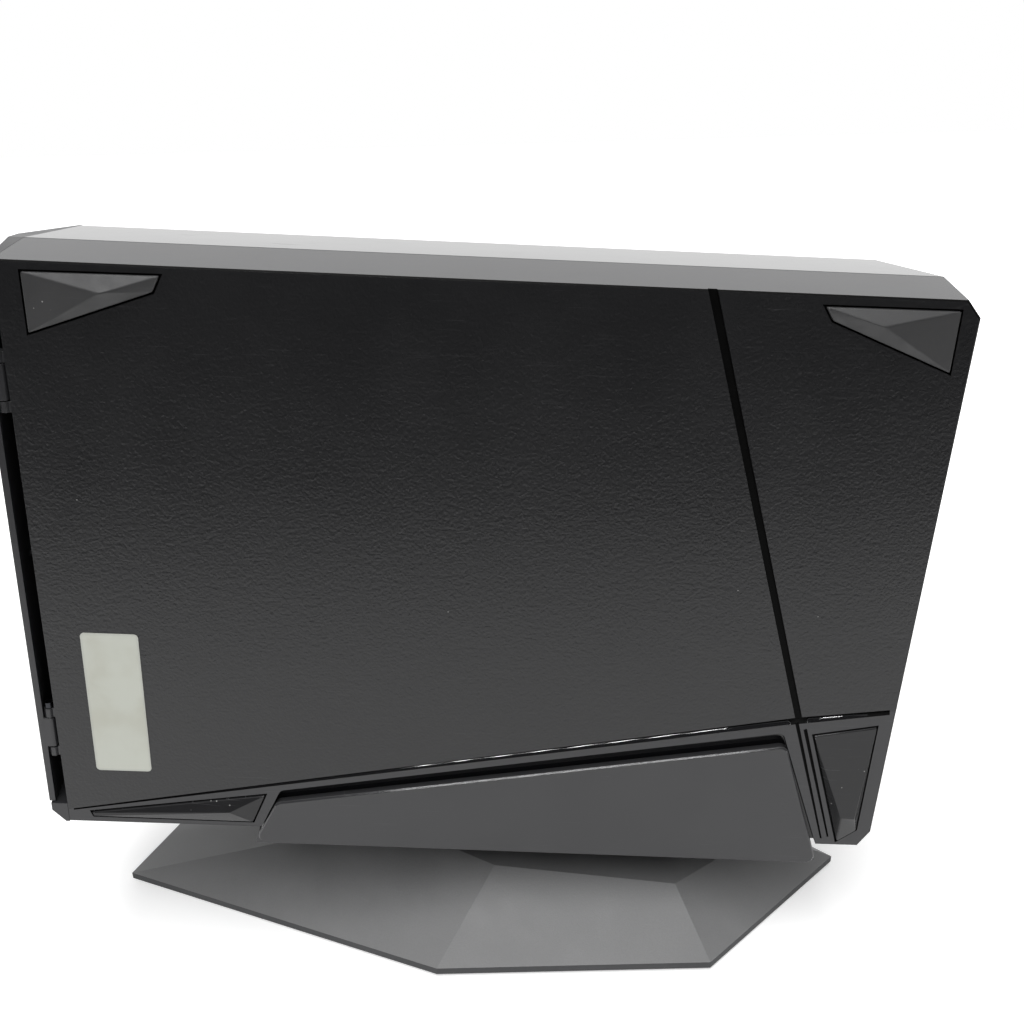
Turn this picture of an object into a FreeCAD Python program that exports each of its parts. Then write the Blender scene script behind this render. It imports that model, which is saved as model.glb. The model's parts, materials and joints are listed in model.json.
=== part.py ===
"""Desktop disc burner in a two-shell housing, standing on a faceted cradle.

The housing has its own frame: x runs back from the front, y across from the underside
panel to the glossy cover, z up along the housing as it stands. The whole housing leans
back by `lean` on the stand, whose frame has Z up from the table. All sizes are in mm.
"""
import FreeCAD, Part

import math
import os
from FreeCAD import Vector

# Housing
panel_length = 238.0        # underside panel, front to back
panel_height = 163.0        # underside panel, bottom edge to top edge
housing_depth = 63.0        # underside panel to glossy cover
seam_y = 21.0               # where the two shells meet
edge_bevel = 0.4            # bevel round the panel
skirt_flare = 1.0           # how far the shells stand out at the seam, each side
cover_draft = 4.7           # how far the glossy shell tapers in, each side
wall = 2.5                  # wall of both shells
nose_y = 30.0               # ridge of the V-shaped front
nose_out = 4.0              # how far that ridge stands forward
shell_front = 4.7           # front edge of both shells
corner_front = (3.6, 3.9)   # corner cuts as (along x, along z)
corner_rear_low = (3.1, 5.2)
corner_rear_high = (3.7, 4.2)
seam_gap = 0.3              # shadow line between the shells
tongue = 1.7                # height of the locating tongue along the seam
tongue_gap = 0.12
groove_depth = 0.9
groove_width = 2.2
groove_lip = 1.0            # run of the sloping lower side of the stepped groove
recess_depth = 3.0          # pocket of the underside that takes the cradle's near cheek
recess_round = 2.0
foot_seat = 0.8             # pocket under each foot
foot_gap = 0.5              # dark outline round each foot
foot_rim = 0.4              # upright rim of a foot above the panel
foot_proud = 3.0
screw_head, screw_shank = 2.6, 1.3
screw_play = 0.2            # room round a screw in its clearance hole

# Stand
lean = 4.0                  # the housing leans back by this, degrees
housing_lift = 50.67        # table to the housing's own origin
edge_lift = 0.8             # the base's edge above the table, on its pads
edge_band = 2.2             # upright band round the base's rim
facet_slope = 34.0          # slope of the middle facets, degrees
stand_top = -22.0           # flat top of the base, in the housing's frame
base_half = 44.3            # half the base's width
base_wall = 2.6
rib = 1.6                   # ribs inside the base
cradle_floor = 5.3          # thickness of the cradle's floor
cradle_clear = 0.3          # the housing sits this far above it
cheek = 2.4                 # thickness of the cradle's cheeks
cheek_proud = 0.4           # the near cheek stands proud of the panel
cheek_round, cheek_bevel = 2.5, 0.45
pad_length, pad_width, pad_height, pad_sunk = 24.0, 8.0, 2.2, 1.4

# Flap over the tray mouth
flap_wall = 1.8
flap_low = 6.6              # the same above and below
flap_near = 0.6
lip_gap = 0.4               # flap to fixed lip
flap_axis = (2.6, 1.9)
flap_set_out = 0.57         # near edge of the flap stands this far ahead of the corner block
pin_radius = 0.6
ear_radius = 1.3
run_gap = 0.05              # radial running clearance of pins
ear_start, ear_length = 25.6, 9.4
lug_width = 2.8
pin_reach = 3.1             # how far each pin runs into its lugs
side_gap = 0.3
shell_play = 0.15           # the frame's fit inside the shells
frame_plate = 3.0
flap_rib = 1.4
spring_wire, spring_height = 0.4, 1.6

# Button on the fixed lip
lip_margin = 1.4            # lip beside the button
boss_meet = 12.0            # where the screw bosses of the two shells meet
socket_gap = 0.3            # gap round the sockets in the rear wall
button_below, button_length = 29.0, 12.0  # from the panel's top edge
button_width, button_inside = 6.0, 1.1  # inside the far wall
button_gap, button_proud = 0.2, 0.4
button_travel = 1.2
lamp_below, lamp_radius = 22.5, 1.25
switch_back = 8.8           # front of the switch board behind the shells' front edge
switch_height = 2.3

# Disc unit, a 5.25 inch half-height drive
unit_front, unit_near = 27.0, 14.0
unit_length, unit_width, unit_thick = 173.0, 146.0, 42.0
sheet = 0.8                 # steel covers
bezel = 4.0                 # thickness of the unit's own front
rail_wall = 2.9
disc_x = 94.0
disc_radius = 60.0
well_clear = 0.4
well_depth = 3.2
tray_drop = 6.0             # tray's top below the unit's far face
tray_plate, tray_side = 4.7, 7.0  # depth of the tray's plate and of its skirt
cover_split = 30.0          # where the two covers meet
tray_width = 128.0
tray_length = 168.0
tray_travel = 147.0
slot_width = 36.0
tray_gap = 0.3
gear_x, gear_drop = 46.0, 50.5  # pinion, below the unit's mid-line
rack_spare = 2.4            # rack left over when the tray is out
pinion_teeth, pinion_module = 14, 1.2
wheel_teeth, step_teeth, wheel_module = 24, 10, 1.05
addendum, dedendum = 0.8, 1.2  # tooth height above and below the pitch line, in modules
mesh_play = 0.24            # backlash along the pitch circle
gear_play = 0.8             # driven wheel below the tray's skirt
wheel_thick = 2.7
pulley_drop = 4.3           # pulleys below the driven wheel
gear_pin, step_pin = 1.5, 1.3
pulley_radius, motor_pulley_radius = 9.0, 3.5
pulley_width = 2.9
belt_thick = 1.2
step_angle = 68.0           # direction from the pinion to the pulley wheel, degrees
motor_x, motor_rise = 46.0, 2.5
motor_radius = 12.0

# Traverse deck with spindle and pickup
deck_rear = 174.0
deck_drop_in = 14.0         # deck below the tray's skirt
deck_front = 72.0
deck_half = 31.5
deck_drop = 5.2             # degrees that the deck swings down
cam_travel = 12.0
cam_pin_x, cam_pin_offset = 66.5, 21.5
bracket_offset = 37.0       # middle of each trunnion bracket beside the mid-line
damper_radius, trunnion_radius = 4.5, 2.0
cam_pin_radius, cam_play = 1.5, 0.25
rod_radius = 1.5
rod_rise = 5.0              # rods above the deck
rod_offset = 21.5
screw_offset = 29.5         # lead screw beside the spindle axis, along z
screw_start, screw_length = 15.6, 46.0
lens_start = 25.0           # lens ahead of the spindle axis, along x
lens_drop = 2.1             # underside of the lens below the tray's plate
hub_radius = 7.4

# Rear electronics
board_y = 15.5
board_thick = 1.6
port_drop, port_width, port_height, port_length = 21.5, 12.0, 10.9, 16.0
jack_rise, jack_width, jack_length = 4.5, 9.0, 14.0
board_drop, board_span = 50.5, 88.0
plug_half, plug_height = 19.5, 6.5

# Worked out from the above
mid_y = housing_depth / 2
mid_z = panel_height / 2
far_inner = housing_depth - wall
unit_rear = unit_front + unit_length
unit_far = unit_near + unit_thick
unit_low, unit_high = mid_z - unit_width / 2, mid_z + unit_width / 2
button_far = far_inner - button_inside
button_near = button_far - button_width
lamp_y = (button_near + button_far) / 2
lip_start = button_near - lip_margin
flap_far = lip_start - lip_gap
disc_z = mid_z
gear_z = mid_z - gear_drop
motor_z = mid_z + motor_rise
tray_top = unit_far - tray_drop
tray_under, tray_skirt = tray_top - tray_plate, tray_top - tray_side
well_floor = tray_top - well_depth
gear_mid = tray_skirt - gear_play
gear_near = gear_mid - wheel_thick
pulley_near = gear_near - pulley_drop
plate_far = pulley_near - 0.7  # cross plate under the pulleys
deck_pivot = (deck_rear, tray_skirt - deck_drop_in)
rod_y = deck_pivot[1] + rod_rise
lens_base = tray_under - lens_drop
flap_high = panel_height - flap_low
ear_spans = (
    (ear_start, ear_start + ear_length),
    (panel_height - ear_start - ear_length, panel_height - ear_start),
)
button_high = panel_height - button_below
button_low = button_high - button_length
lamp_z = panel_height - lamp_below
switch_face = shell_front + switch_back - switch_height
port_low = mid_z - port_drop
jack_low = mid_z + jack_rise
board_low = mid_z - board_drop
board_top = board_y + board_thick


def box(x0, x1, y0, y1, z0, z1):
    return Part.makeBox(x1 - x0, y1 - y0, z1 - z0, Vector(x0, y0, z0))


def rod(axis, x, y, z, radius, length):
    directions = {"x": Vector(1, 0, 0), "y": Vector(0, 1, 0), "z": Vector(0, 0, 1)}
    return Part.makeCylinder(radius, length, Vector(x, y, z), directions[axis])


def ring(axis, x, y, z, outer, inner, length):
    return rod(axis, x, y, z, outer, length).cut(rod(axis, x, y, z, inner, length))


def eight_sided(centre, radius, turn=22.5):
    """Corners of an octagon whose flats lie at the given radius."""
    corner = radius / math.cos(math.pi / 8)
    angles = [math.radians(turn + 45 * step) for step in range(8)]
    return [(centre[0] + corner * math.cos(a), centre[1] + corner * math.sin(a)) for a in angles]


def post(x, y, z, radius, length):
    """An eight-sided moulded post or pocket along y."""
    return prism_y(eight_sided((x, z), radius), y, y + length)


def face_of(points):
    return Part.Face(Part.makePolygon([*points, points[0]]))


def prism_y(outline, y0, y1):
    """Extrude an (x, z) outline across the housing."""
    return face_of([Vector(x, y0, z) for x, z in outline]).extrude(Vector(0, y1 - y0, 0))


def prism_z(outline, z0, z1):
    """Extrude an (x, y) outline upwards."""
    return face_of([Vector(x, y, z0) for x, y in outline]).extrude(Vector(0, 0, z1 - z0))


def prism_x(outline, x0, x1):
    """Extrude a (y, z) outline backwards."""
    return face_of([Vector(x0, y, z) for y, z in outline]).extrude(Vector(x1 - x0, 0, 0))


def grown(outline, distance):
    """A convex outline with every side moved out by the distance."""
    area = sum(a[0] * b[1] - b[0] * a[1] for a, b in zip(outline, outline[1:] + outline[:1]))
    turn = 1.0 if area > 0 else -1.0
    lines = []
    for (ax, az), (bx, bz) in zip(outline, outline[1:] + outline[:1]):
        length = math.hypot(bx - ax, bz - az)
        nx, nz = turn * (bz - az) / length, -turn * (bx - ax) / length
        lines.append((nx, nz, nx * ax + nz * az + distance))
    corners = []
    for (a, b, c), (d, e, f) in zip(lines[-1:] + lines[:-1], lines):
        det = a * e - b * d
        corners.append(((c * e - b * f) / det, (a * f - c * d) / det))
    return corners


def rounded(shape, direction, radius):
    """Round the edges of a prism that run along its direction."""
    edges = []
    for edge in shape.Edges:
        if len(edge.Vertexes) == 2:
            run = edge.Vertexes[1].Point - edge.Vertexes[0].Point
            if run.Length > 0 and abs(abs(run.normalize().dot(direction)) - 1) < 1e-6:
                edges.append(edge)
    return shape.makeFillet(radius, edges)


def union(*shapes):
    return shapes[0].fuse(list(shapes[1:])).removeSplitter()


def taken(shape, *tools):
    return shape.cut(list(tools)).removeSplitter()


def mirrored(shape):
    """Mirror a piece of the disc unit about its own mid-plane."""
    return shape.mirror(Vector(0, 0, disc_z), Vector(0, 0, 1))


def on_table(shape):
    """Carry a shape from the housing's frame to the table's frame."""
    placed = shape.copy()
    placed.rotate(Vector(0, 0, 0), Vector(0, 1, 0), lean)
    placed.translate(Vector(0, 0, housing_lift))
    return placed


def save(name, shape, middle, leaning=True):
    """Write one piece, with the origin on the table under the middle of the object."""
    placed = on_table(shape) if leaning else shape.copy()
    placed.translate(Vector(-middle, -mid_y, 0))
    placed.exportStep("parts/" + name + ".step")


def group(*shapes):
    return Part.makeCompound(list(shapes))


# The housing's outline at any depth y. The front is the V unless a flat front is given.
def front_at(y):
    """How far the front edge stands at depth y."""
    if y <= nose_y:
        return -nose_out * y / nose_y
    return -nose_out * (housing_depth - y) / (housing_depth - nose_y)


def stand_out(y):
    """How far the sides stand out beyond the panel at depth y."""
    if y <= seam_y:
        return skirt_flare * y / seam_y
    return skirt_flare - cover_draft * (y - seam_y) / (housing_depth - seam_y)


def outline_at(y, inset=0.0, front=None):
    """The (x, z) corners of the housing's section at depth y."""
    out = stand_out(y) - inset
    rear, low, high = panel_length + out, -out, panel_height + out
    points = [
        (rear, high - corner_rear_high[1]),
        (rear - corner_rear_high[0], high),
    ]
    if front is None:
        edge = front_at(y)
        points += [(edge + corner_front[0], high), (edge, high - corner_front[1])]
        points += [(edge, low + corner_front[1]), (edge + corner_front[0], low)]
    else:
        points += [(front, high), (front, low)]
    points += [(rear - corner_rear_low[0], low), (rear, low + corner_rear_low[1])]
    return points


def housing_slice(y0, y1, inset=0.0, front=None):
    """The housing's body between two depths, as straight walls between its outlines."""
    bends = [y for y in (seam_y, nose_y) if y0 + 1e-6 < y < y1 - 1e-6]
    if front is not None:
        bends = [y for y in bends if y == seam_y]
    stops = [y0, *bends, y1]
    slices = []
    for start, end in zip(stops, stops[1:]):
        wires = []
        for y in (start, end):
            points = [Vector(x, y, z) for x, z in outline_at(y, inset, front)]
            wires.append(Part.makePolygon([*points, points[0]]))
        slices.append(Part.makeLoft(wires, True, True))
    return slices[0] if len(slices) == 1 else union(*slices)


def from_rear(distance):
    return panel_length - distance


def from_top(distance):
    return panel_height - distance


# Features of the underside panel, as (x, z) outlines
foot_top_front = [(11.3, from_top(2.6)), (43.5, from_top(2.3)), (41.6, from_top(6.2)), (11.4, from_top(17.3))]
foot_top_rear = [
    (from_rear(5.1), from_top(2.7)),
    (from_rear(37.4), from_top(2.9)),
    (from_rear(35.2), from_top(6.2)),
    (from_rear(4.9), from_top(17.9)),
]
foot_low_rear = [
    (from_rear(21.7), 38.4),
    (from_rear(4.6), 41.9),
    (from_rear(4.6), 6.0),
    (from_rear(9.6), 1.9),
]
foot_low_front = [(12.0, 2.4), (11.5, 3.7), (61.5, 11.5), (57.7, 2.1)]
peak_top_front = (30.1, from_top(6.4))
peak_top_rear = (from_rear(23.7), from_top(6.5))
peak_low_rear = (from_rear(8.5), 10.6)
peak_low_front = (51.4, 5.3)
cheek_outline = [(64.7, 9.1), (from_rear(28.8), 34.5), (from_rear(14.2), -6.8), (57.6, -5.6)]
recess_outline = [(66.0, 13.3), (from_rear(30.4), 38.9), (from_rear(13.06), -6.0), (57.3, -6.0)]
label_outline = [(14.4, 18.7), (29.9, 18.7), (29.9, 63.5), (14.4, 63.5)]
crossing = (from_rear(26.6), 43.2)
slant_top = (from_rear(65.0), from_top(-1.0))
step_tip = (6.3, 4.4)
step_end = (from_rear(1.8), 46.9)
twin_starts = ((from_rear(27.1), 42.3), (from_rear(24.5), 40.4))
twin_ends = ((from_rear(14.2), 2.4), (from_rear(12.3), 3.1))
screw_spots = ((20.0, from_top(8.0)), (from_rear(14.0), from_top(7.7)), (from_rear(11.0), 26.0))
unit_posts = (
    (unit_front + 22.0, unit_low + 16.0),
    (unit_front + 22.0, unit_high - 16.0),
    (unit_rear - 18.0, unit_low + 16.0),
    (unit_rear - 18.0, unit_high - 16.0),
)
unit_pins = (unit_posts[0], unit_posts[3])


def along_line(start, end, offset_start, offset_end):
    """Both ends of a line, each moved square to it."""
    (ax, az), (bx, bz) = start, end
    length = math.hypot(bx - ax, bz - az)
    nx, nz = -(bz - az) / length, (bx - ax) / length
    return (ax + nx * offset_start, az + nz * offset_start), (bx + nx * offset_end, bz + nz * offset_end)


def stroke(start, end, width_start, width_end):
    """A straight groove cut into the panel between two points."""
    far_side = along_line(start, end, width_start / 2, width_end / 2)
    near_side = along_line(start, end, -width_start / 2, -width_end / 2)
    return prism_y([*far_side, *near_side[::-1]], -1.0, groove_depth)


def stepped_groove(line, widths):
    """A groove along a bent line, with an upright upper side and a sloping lower side."""
    wires = []
    for number, ((x, z), width) in enumerate(zip(line, widths)):
        (ax, az), (bx, bz) = line[max(number - 1, 0)], line[min(number + 1, len(line) - 1)]
        length = math.hypot(bx - ax, bz - az)
        nx, nz = -(bz - az) / length, (bx - ax) / length
        upper, lower = width / 2, -width / 2
        slope = min(groove_lip, width * 0.6)
        profile = [(upper, -1.0), (upper, groove_depth)]
        profile += [(lower + slope, groove_depth), (lower, 0.0), (lower, -1.0)]
        section = [Vector(x + nx * offset, y, z + nz * offset) for offset, y in profile]
        wires.append(Part.makePolygon([*section, section[0]]))
    return Part.makeLoft(wires, True, True)


def pyramid(outline, peak, peak_y):
    """A facetted foot: a thin base plate carrying a four-sided point."""
    rim = [Vector(x, -foot_rim, z) for x, z in outline]
    top = Vector(peak[0], peak_y, peak[1])
    faces = [face_of(rim)]
    for a, b in zip(rim, rim[1:] + rim[:1]):
        faces.append(face_of([a, b, top]))
    point = Part.Solid(Part.Shell(faces))
    if point.Volume < 0:
        point.reverse()
    return union(prism_y(outline, -foot_rim, foot_seat), point)


def bevelled_slice(y1):
    """The near side of the housing, with a bevel round the panel's edge."""
    wires = []
    for y, inset in ((0.0, edge_bevel), (edge_bevel, 0.0)):
        points = [Vector(x, y, z) for x, z in outline_at(y, inset, shell_front)]
        wires.append(Part.makePolygon([*points, points[0]]))
    return union(Part.makeLoft(wires, True, True), housing_slice(edge_bevel, y1, front=shell_front))


def lower_shell():
    """Underside shell: panel with its grooves and pockets, skirt, posts and socket openings."""
    shell = bevelled_slice(seam_y - seam_gap)
    shell = shell.cut(housing_slice(wall, seam_y, wall, front=shell_front - 2))
    tongue_start = seam_y - tongue - tongue_gap
    shell = shell.cut(housing_slice(tongue_start, seam_y, wall / 2, front=shell_front - 2))
    backing = prism_y(grown(recess_outline, wall), wall, recess_depth + wall)
    backing = backing.common(housing_slice(1.0, seam_y - 3, 0.4, front=shell_front))
    start = wall - 1.0
    posts = []
    for x, z in unit_posts:
        posts.append(box(x - 5, x + 5, start, unit_near, z - 1, z + 1))
        posts.append(box(x - 1, x + 1, start, unit_near, z - 5, z + 5))
    for x, z in unit_pins:
        posts.append(rod("y", x, unit_near - 1, z, 1.4, 1.0 + sheet * 1.5))
    for x, z in screw_spots:
        posts.append(post(x, start, z, 4.2, boss_meet - start))
    for x, z in board_holes():
        posts.append(post(x, start, z, 3.0, board_y - start))
    shell = union(shell, backing, *posts)
    tools = [rounded(prism_y(recess_outline, -1.0, recess_depth), Vector(0, 1, 0), recess_round)]
    for outline in (foot_top_front, foot_top_rear, foot_low_rear, foot_low_front):
        tools.append(prism_y(grown(outline, foot_gap), -1.0, foot_seat))
    for x, z in screw_spots:
        tools.append(post(x, foot_seat, z, screw_head + 0.3, 2.6))
        tools.append(post(x, foot_seat, z, screw_shank + screw_play, 20.0))
    for x, z in board_holes():
        tools.append(post(x, board_y - 8.0, z, 1.0, 8.1))
    tools.append(usb_body(socket_gap, 12.0))
    tools.append(jack_body(socket_gap, 12.0))
    shell = taken(shell, *tools, stroke(slant_top, crossing, groove_width, 1.9))
    shell = shell.cut(stepped_groove((step_tip, crossing, step_end), (0.5, groove_width, 1.6)))
    for start, end in zip(twin_starts, twin_ends):
        shell = shell.cut(stroke(start, end, 1.0, 0.5))
    return shell.removeSplitter()


def upper_shell():
    """Glossy shell: tapering box with its tongue, screw bosses and stiffening ribs."""
    shell = housing_slice(seam_y, housing_depth, front=shell_front)
    shell = shell.cut(housing_slice(seam_y - 1, far_inner, wall, front=shell_front - 2))
    lip = housing_slice(seam_y - tongue, seam_y + 2, wall / 2 + tongue_gap, front=shell_front)
    lip = lip.cut(housing_slice(seam_y - tongue - 1, seam_y + 3, wall, front=shell_front - 2))
    posts = []
    for x, z in screw_spots:
        boss = post(x, boss_meet, z, 3.6, far_inner + 0.5 - boss_meet)
        posts.append(boss.cut(post(x, boss_meet - 1, z, screw_shank + 0.05, far_inner - boss_meet)))
    for z in (unit_low + 24.0, unit_high - 24.0):
        posts.append(box(unit_front + 20, unit_rear - 20, unit_far, far_inner + 0.5, z - 1, z + 1))
    for x in (unit_front + 40.0, unit_rear - 40.0):
        posts.append(box(x - 1, x + 1, unit_far, far_inner + 0.5, unit_low + 24, unit_high - 24))
    body = union(shell, lip, *posts)
    rim = []
    for edge in body.Edges:
        a, b = edge.Vertexes[0].Point, edge.Vertexes[-1].Point
        outer = abs(a.y - housing_depth) < 1e-6 and abs(b.y - housing_depth) < 1e-6
        if outer and max(a.x, b.x) > shell_front + 1 and (a - b).Length > 1:
            rim.append(edge)
    return body.makeChamfer(1.0, rim)


def mouth():
    """The opening that the tray comes out through."""
    near, far = tray_skirt - 1.8, tray_top + 1.8
    low, high = disc_z - tray_width / 2 - 2.0, disc_z + tray_width / 2 + 2.0
    return box(-10, shell_front + 5, near, far, low, high)


def front_frame():
    """The V-fronted frame: corner blocks, fixed lip, plate behind the flap, hinge lugs."""
    inset = wall + shell_play
    top = panel_height + 5
    blocks = housing_slice(0.0, housing_depth)
    blocks = blocks.common(box(-10, shell_front - 0.1, -5, housing_depth + 5, -5, top))
    blocks = blocks.cut(box(-10, shell_front, -5, lip_start, flap_low - side_gap, flap_high + side_gap))
    plate = housing_slice(inset, housing_depth - inset, inset, front=shell_front)
    plate = plate.common(box(shell_front - 0.1, shell_front + frame_plate, 0, housing_depth, -5, top))
    link = housing_slice(0.0, housing_depth, inset)
    link = link.common(box(shell_front - 1, shell_front + 1, inset, housing_depth - inset, -5, top))
    link = link.cut(box(0, shell_front, 0, lip_start, flap_low - side_gap, flap_high + side_gap))
    pin_x, pin_y = flap_axis
    lugs = []
    for low, high in ear_spans:
        for z in (low - side_gap - lug_width, high + side_gap):
            nose = prism_z(eight_sided(flap_axis, ear_radius), z, z + lug_width)
            web = box(pin_x, shell_front - 0.1, pin_y - 0.7, wall + 1.0, z, z + lug_width)
            root = box(pin_x, shell_front + 1, wall + shell_play, wall + 1.0, z, z + lug_width)
            lugs += [nose, web, root]
    body = union(blocks, plate, link, *lugs)
    tools = [mouth()]
    reach = pin_reach + 0.1
    for low, high in ear_spans:
        tools.append(rod("z", pin_x, pin_y, low - reach, pin_radius, high - low + 2 * reach))
    tools.append(box(-8, shell_front + 4, button_near - button_gap, button_far + button_gap,
                     button_low - button_gap, button_high + button_gap))
    tools.append(rod("x", -8, lamp_y, lamp_z, lamp_radius + run_gap, 20))
    return taken(body, *tools)


def flap_profile(inset):
    """The flap's V section as (x, y), from its near edge round the ridge to its far edge."""
    near = (front_at(0.0) - flap_set_out - 0.08 + inset, flap_near)
    ridge = (-nose_out + inset, nose_y)
    far = (front_at(flap_far) + inset, flap_far)
    return [near, ridge, far]


def flap_door():
    """The V-fronted flap with its two hinge ears and three ribs behind."""
    outline = flap_profile(0.0) + flap_profile(flap_wall)[::-1]
    plate = prism_z(outline, flap_low, flap_high)
    pieces = [plate]
    for low, high in ear_spans:
        pieces.append(rod("z", *flap_axis, low, ear_radius, high - low))
        pieces.append(box(0.6, flap_axis[0], flap_near, flap_axis[1] + 1.1, low, high))
    rib_outline = [
        (-0.2, flap_near + 7.4),
        (1.4, flap_near + 9.4),
        (0.6, flap_far - 5.6),
        (-1.0, flap_far - 3.6),
        (1.0 - nose_out, nose_y),
    ]
    for z in (flap_low + 6.0, mid_z, flap_high - 6.0 - flap_rib):
        pieces.append(prism_z(rib_outline, z, z + flap_rib))
    holes = [rod("z", *flap_axis, low - 1, pin_radius + run_gap, high - low + 2) for low, high in ear_spans]
    return taken(union(*pieces), *holes)


def flap_pins():
    """A steel pin through each hinge ear and the lugs beside it."""
    pins = []
    for low, high in ear_spans:
        pins.append(rod("z", *flap_axis, low - pin_reach, pin_radius, high - low + 2 * pin_reach))
    return group(*pins)


def flap_spring():
    """A close-wound torsion spring on the lower hinge pin, with one leg each way."""
    x, y = flap_axis
    z = ear_spans[0][1] + side_gap + lug_width + 0.2
    inner = pin_radius + 0.1
    coil = ring("z", x, y, z, inner + spring_wire, inner, spring_height)
    top = z + spring_height
    legs = [
        box(x + inner + 0.05, x + inner + 0.35, y, y + 4.0, z, z + spring_wire),
        box(x + inner + 0.05, x + inner + 0.35, y, y + 3.2, top - spring_wire, top),
    ]
    return union(coil, *legs)


def button_middle():
    return (button_near + button_far) / 2, (button_low + button_high) / 2


def eject_button():
    """Push button that follows the V front, with its flange and stem behind the frame."""
    y, z = button_middle()
    front = housing_slice(0.0, housing_depth)
    front.translate(Vector(-button_proud, 0, 0))
    back = shell_front + frame_plate + button_gap
    body = box(-10, back, button_near, button_far, button_low, button_high)
    flange = box(back, back + 1.0, button_near - 0.8, button_far + 0.8, button_low - 1, button_high + 1)
    stem = box(back + 1.0, switch_face - button_travel - 0.1, y - 1.2, y + 1.2, z - 1.5, z + 1.5)
    return union(body.common(front), flange, stem)


def switch_board():
    """Small board behind the front that carries the switch and the lamp."""
    front = shell_front + switch_back
    return box(front, front + 1.2, button_near - 1.0, button_far + 0.8, button_low - 6, lamp_z + 3)


def tact_switch():
    """Push switch with its round plunger."""
    y, z = button_middle()
    body = box(switch_face + 0.1, shell_front + switch_back, button_near, button_far, z - 3, z + 3)
    return union(body, rod("x", switch_face, y, z, 1.6, 0.2))


def lamp_guide():
    """Clear rod from the switch board's lamp to the fixed lip."""
    start = front_at(lamp_y) - 0.1
    return rod("x", start, lamp_y, lamp_z, lamp_radius, shell_front + switch_back - 0.3 - start)


# Rear electronics
def board_holes():
    """Where the bridge board's two screws go."""
    return (unit_rear + 9.0, board_low + 5.0), (from_rear(7.0), board_low + board_span - 5.0)


def socket_body(length, low, width, gap, reach):
    """A socket's body under the board, or the opening for it when a gap is given."""
    near, far = board_y - port_height - gap, board_y + gap if gap else board_y - 0.05
    return box(from_rear(length), panel_length + reach, near, far, low - gap, low + width + gap)


def usb_body(gap, reach):
    return socket_body(port_length, port_low, port_width, gap, reach)


def jack_body(gap, reach):
    return socket_body(jack_length, jack_low, jack_width, gap, reach)


def usb_socket():
    """Square-type data socket with its bevelled upper corners and centre tongue."""
    low, high = port_low + 1.8, port_low + port_width - 1.8
    near, far = board_y - port_height + 1.6, board_y - 1.6
    cut = 1.4
    outline = [(near, low), (far - cut, low), (far, low + cut)]
    outline += [(far, high - cut), (far - cut, high), (near, high)]
    bottom = from_rear(9.0)
    cavity = prism_x(outline, bottom, panel_length + 2)
    y, z = (near + far) / 2, (low + high) / 2
    blade = box(bottom - 0.1, from_rear(1.3), y - 1.6, y + 1.6, z - 2.8, z + 2.8)
    return union(usb_body(0.0, 0.0).cut(cavity), blade)


def dc_jack():
    """Barrel jack: a round mouth with a centre pin."""
    y, z = board_y - port_height / 2, jack_low + jack_width / 2
    bottom = from_rear(9.0)
    body = jack_body(0.0, 0.0).cut(rod("x", bottom, y, z, 3.2, 12))
    return union(body, rod("x", bottom - 0.1, y, z, 1.0, 8.0))


def bridge_board():
    """Board behind the disc unit, with a hole for each screw."""
    board = box(unit_rear + 3.5, from_rear(3.5), board_y, board_top, board_low, board_low + board_span)
    return taken(board, *[rod("y", x, board_y - 1, z, 1.4, 4) for x, z in board_holes()])


def bridge_chips():
    """Bridge chip, memory, filter can and inductor."""
    return group(
        box(from_rear(24), from_rear(14), board_top, board_top + 1.2, board_low + 35, board_low + 45),
        box(from_rear(26), from_rear(20), board_top, board_top + 1.0, board_low + 55, board_low + 60),
        rod("y", from_rear(14), board_top, board_low + 71, 3.15, 7.0),
        box(from_rear(25), from_rear(19), board_top, board_top + 3.0, board_low + 66, board_low + 72),
    )


def screw(x, y, z, head_radius, head_height, shank_radius, shank_length):
    """A screw along y, its head towards the viewer, its shank beginning at y."""
    head = rod("y", x, y - head_height, z, head_radius, head_height)
    return union(head, post(x, y - 0.1, z, shank_radius, shank_length + 0.1))


def board_screws():
    """The two screws of the bridge board, heads on its far side."""
    screws = []
    for x, z in board_holes():
        head = rod("y", x, board_top, z, 2.4, 1.6)
        screws.append(union(head, post(x, board_y - 6, z, 0.98, 6.1 + board_thick)))
    return group(*screws)


def plug_blades(grow):
    """The power and data blades of the connector pair, or the slots that take them."""
    start, end = unit_rear + 0.1, unit_rear + 5.5 + grow
    near, far = board_top + 2.6 - grow, board_top + 4.0 + grow
    blades = []
    for low, high in ((-17.5, 1.1), (4.9, 17.5)):
        blades.append(box(start, end, near, far, mid_z + low - grow, mid_z + high + grow))
    return blades


def sata_plug():
    """The bridge board's half of the connector pair."""
    low, high = mid_z - plug_half, mid_z + plug_half
    body = box(unit_rear + 0.4, unit_rear + 8.0, board_top, board_top + plug_height, low, high)
    return taken(body, *plug_blades(0.4))


def sata_socket():
    """The disc unit's half of the connector pair, with its two blades."""
    low, high = mid_z - plug_half + 0.5, mid_z + plug_half - 0.5
    body = box(unit_rear - 8.0, unit_rear + 0.2, board_top, board_top + plug_height, low, high)
    return union(body, *plug_blades(0.0))


def shell_screws():
    """The three screws that hold the shells together, each under a foot."""
    start = foot_seat + screw_head
    return group(*[screw(x, start, z, screw_head, 2.2, screw_shank, 18.9) for x, z in screw_spots])


def rubber_feet():
    """The two upper feet."""
    return group(
        pyramid(foot_top_front, peak_top_front, -foot_proud),
        pyramid(foot_top_rear, peak_top_rear, -foot_proud),
    )


def gloss_feet():
    """The two lower feet."""
    return group(
        pyramid(foot_low_rear, peak_low_rear, -foot_proud),
        pyramid(foot_low_front, peak_low_front, -foot_proud + 0.8),
    )


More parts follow.
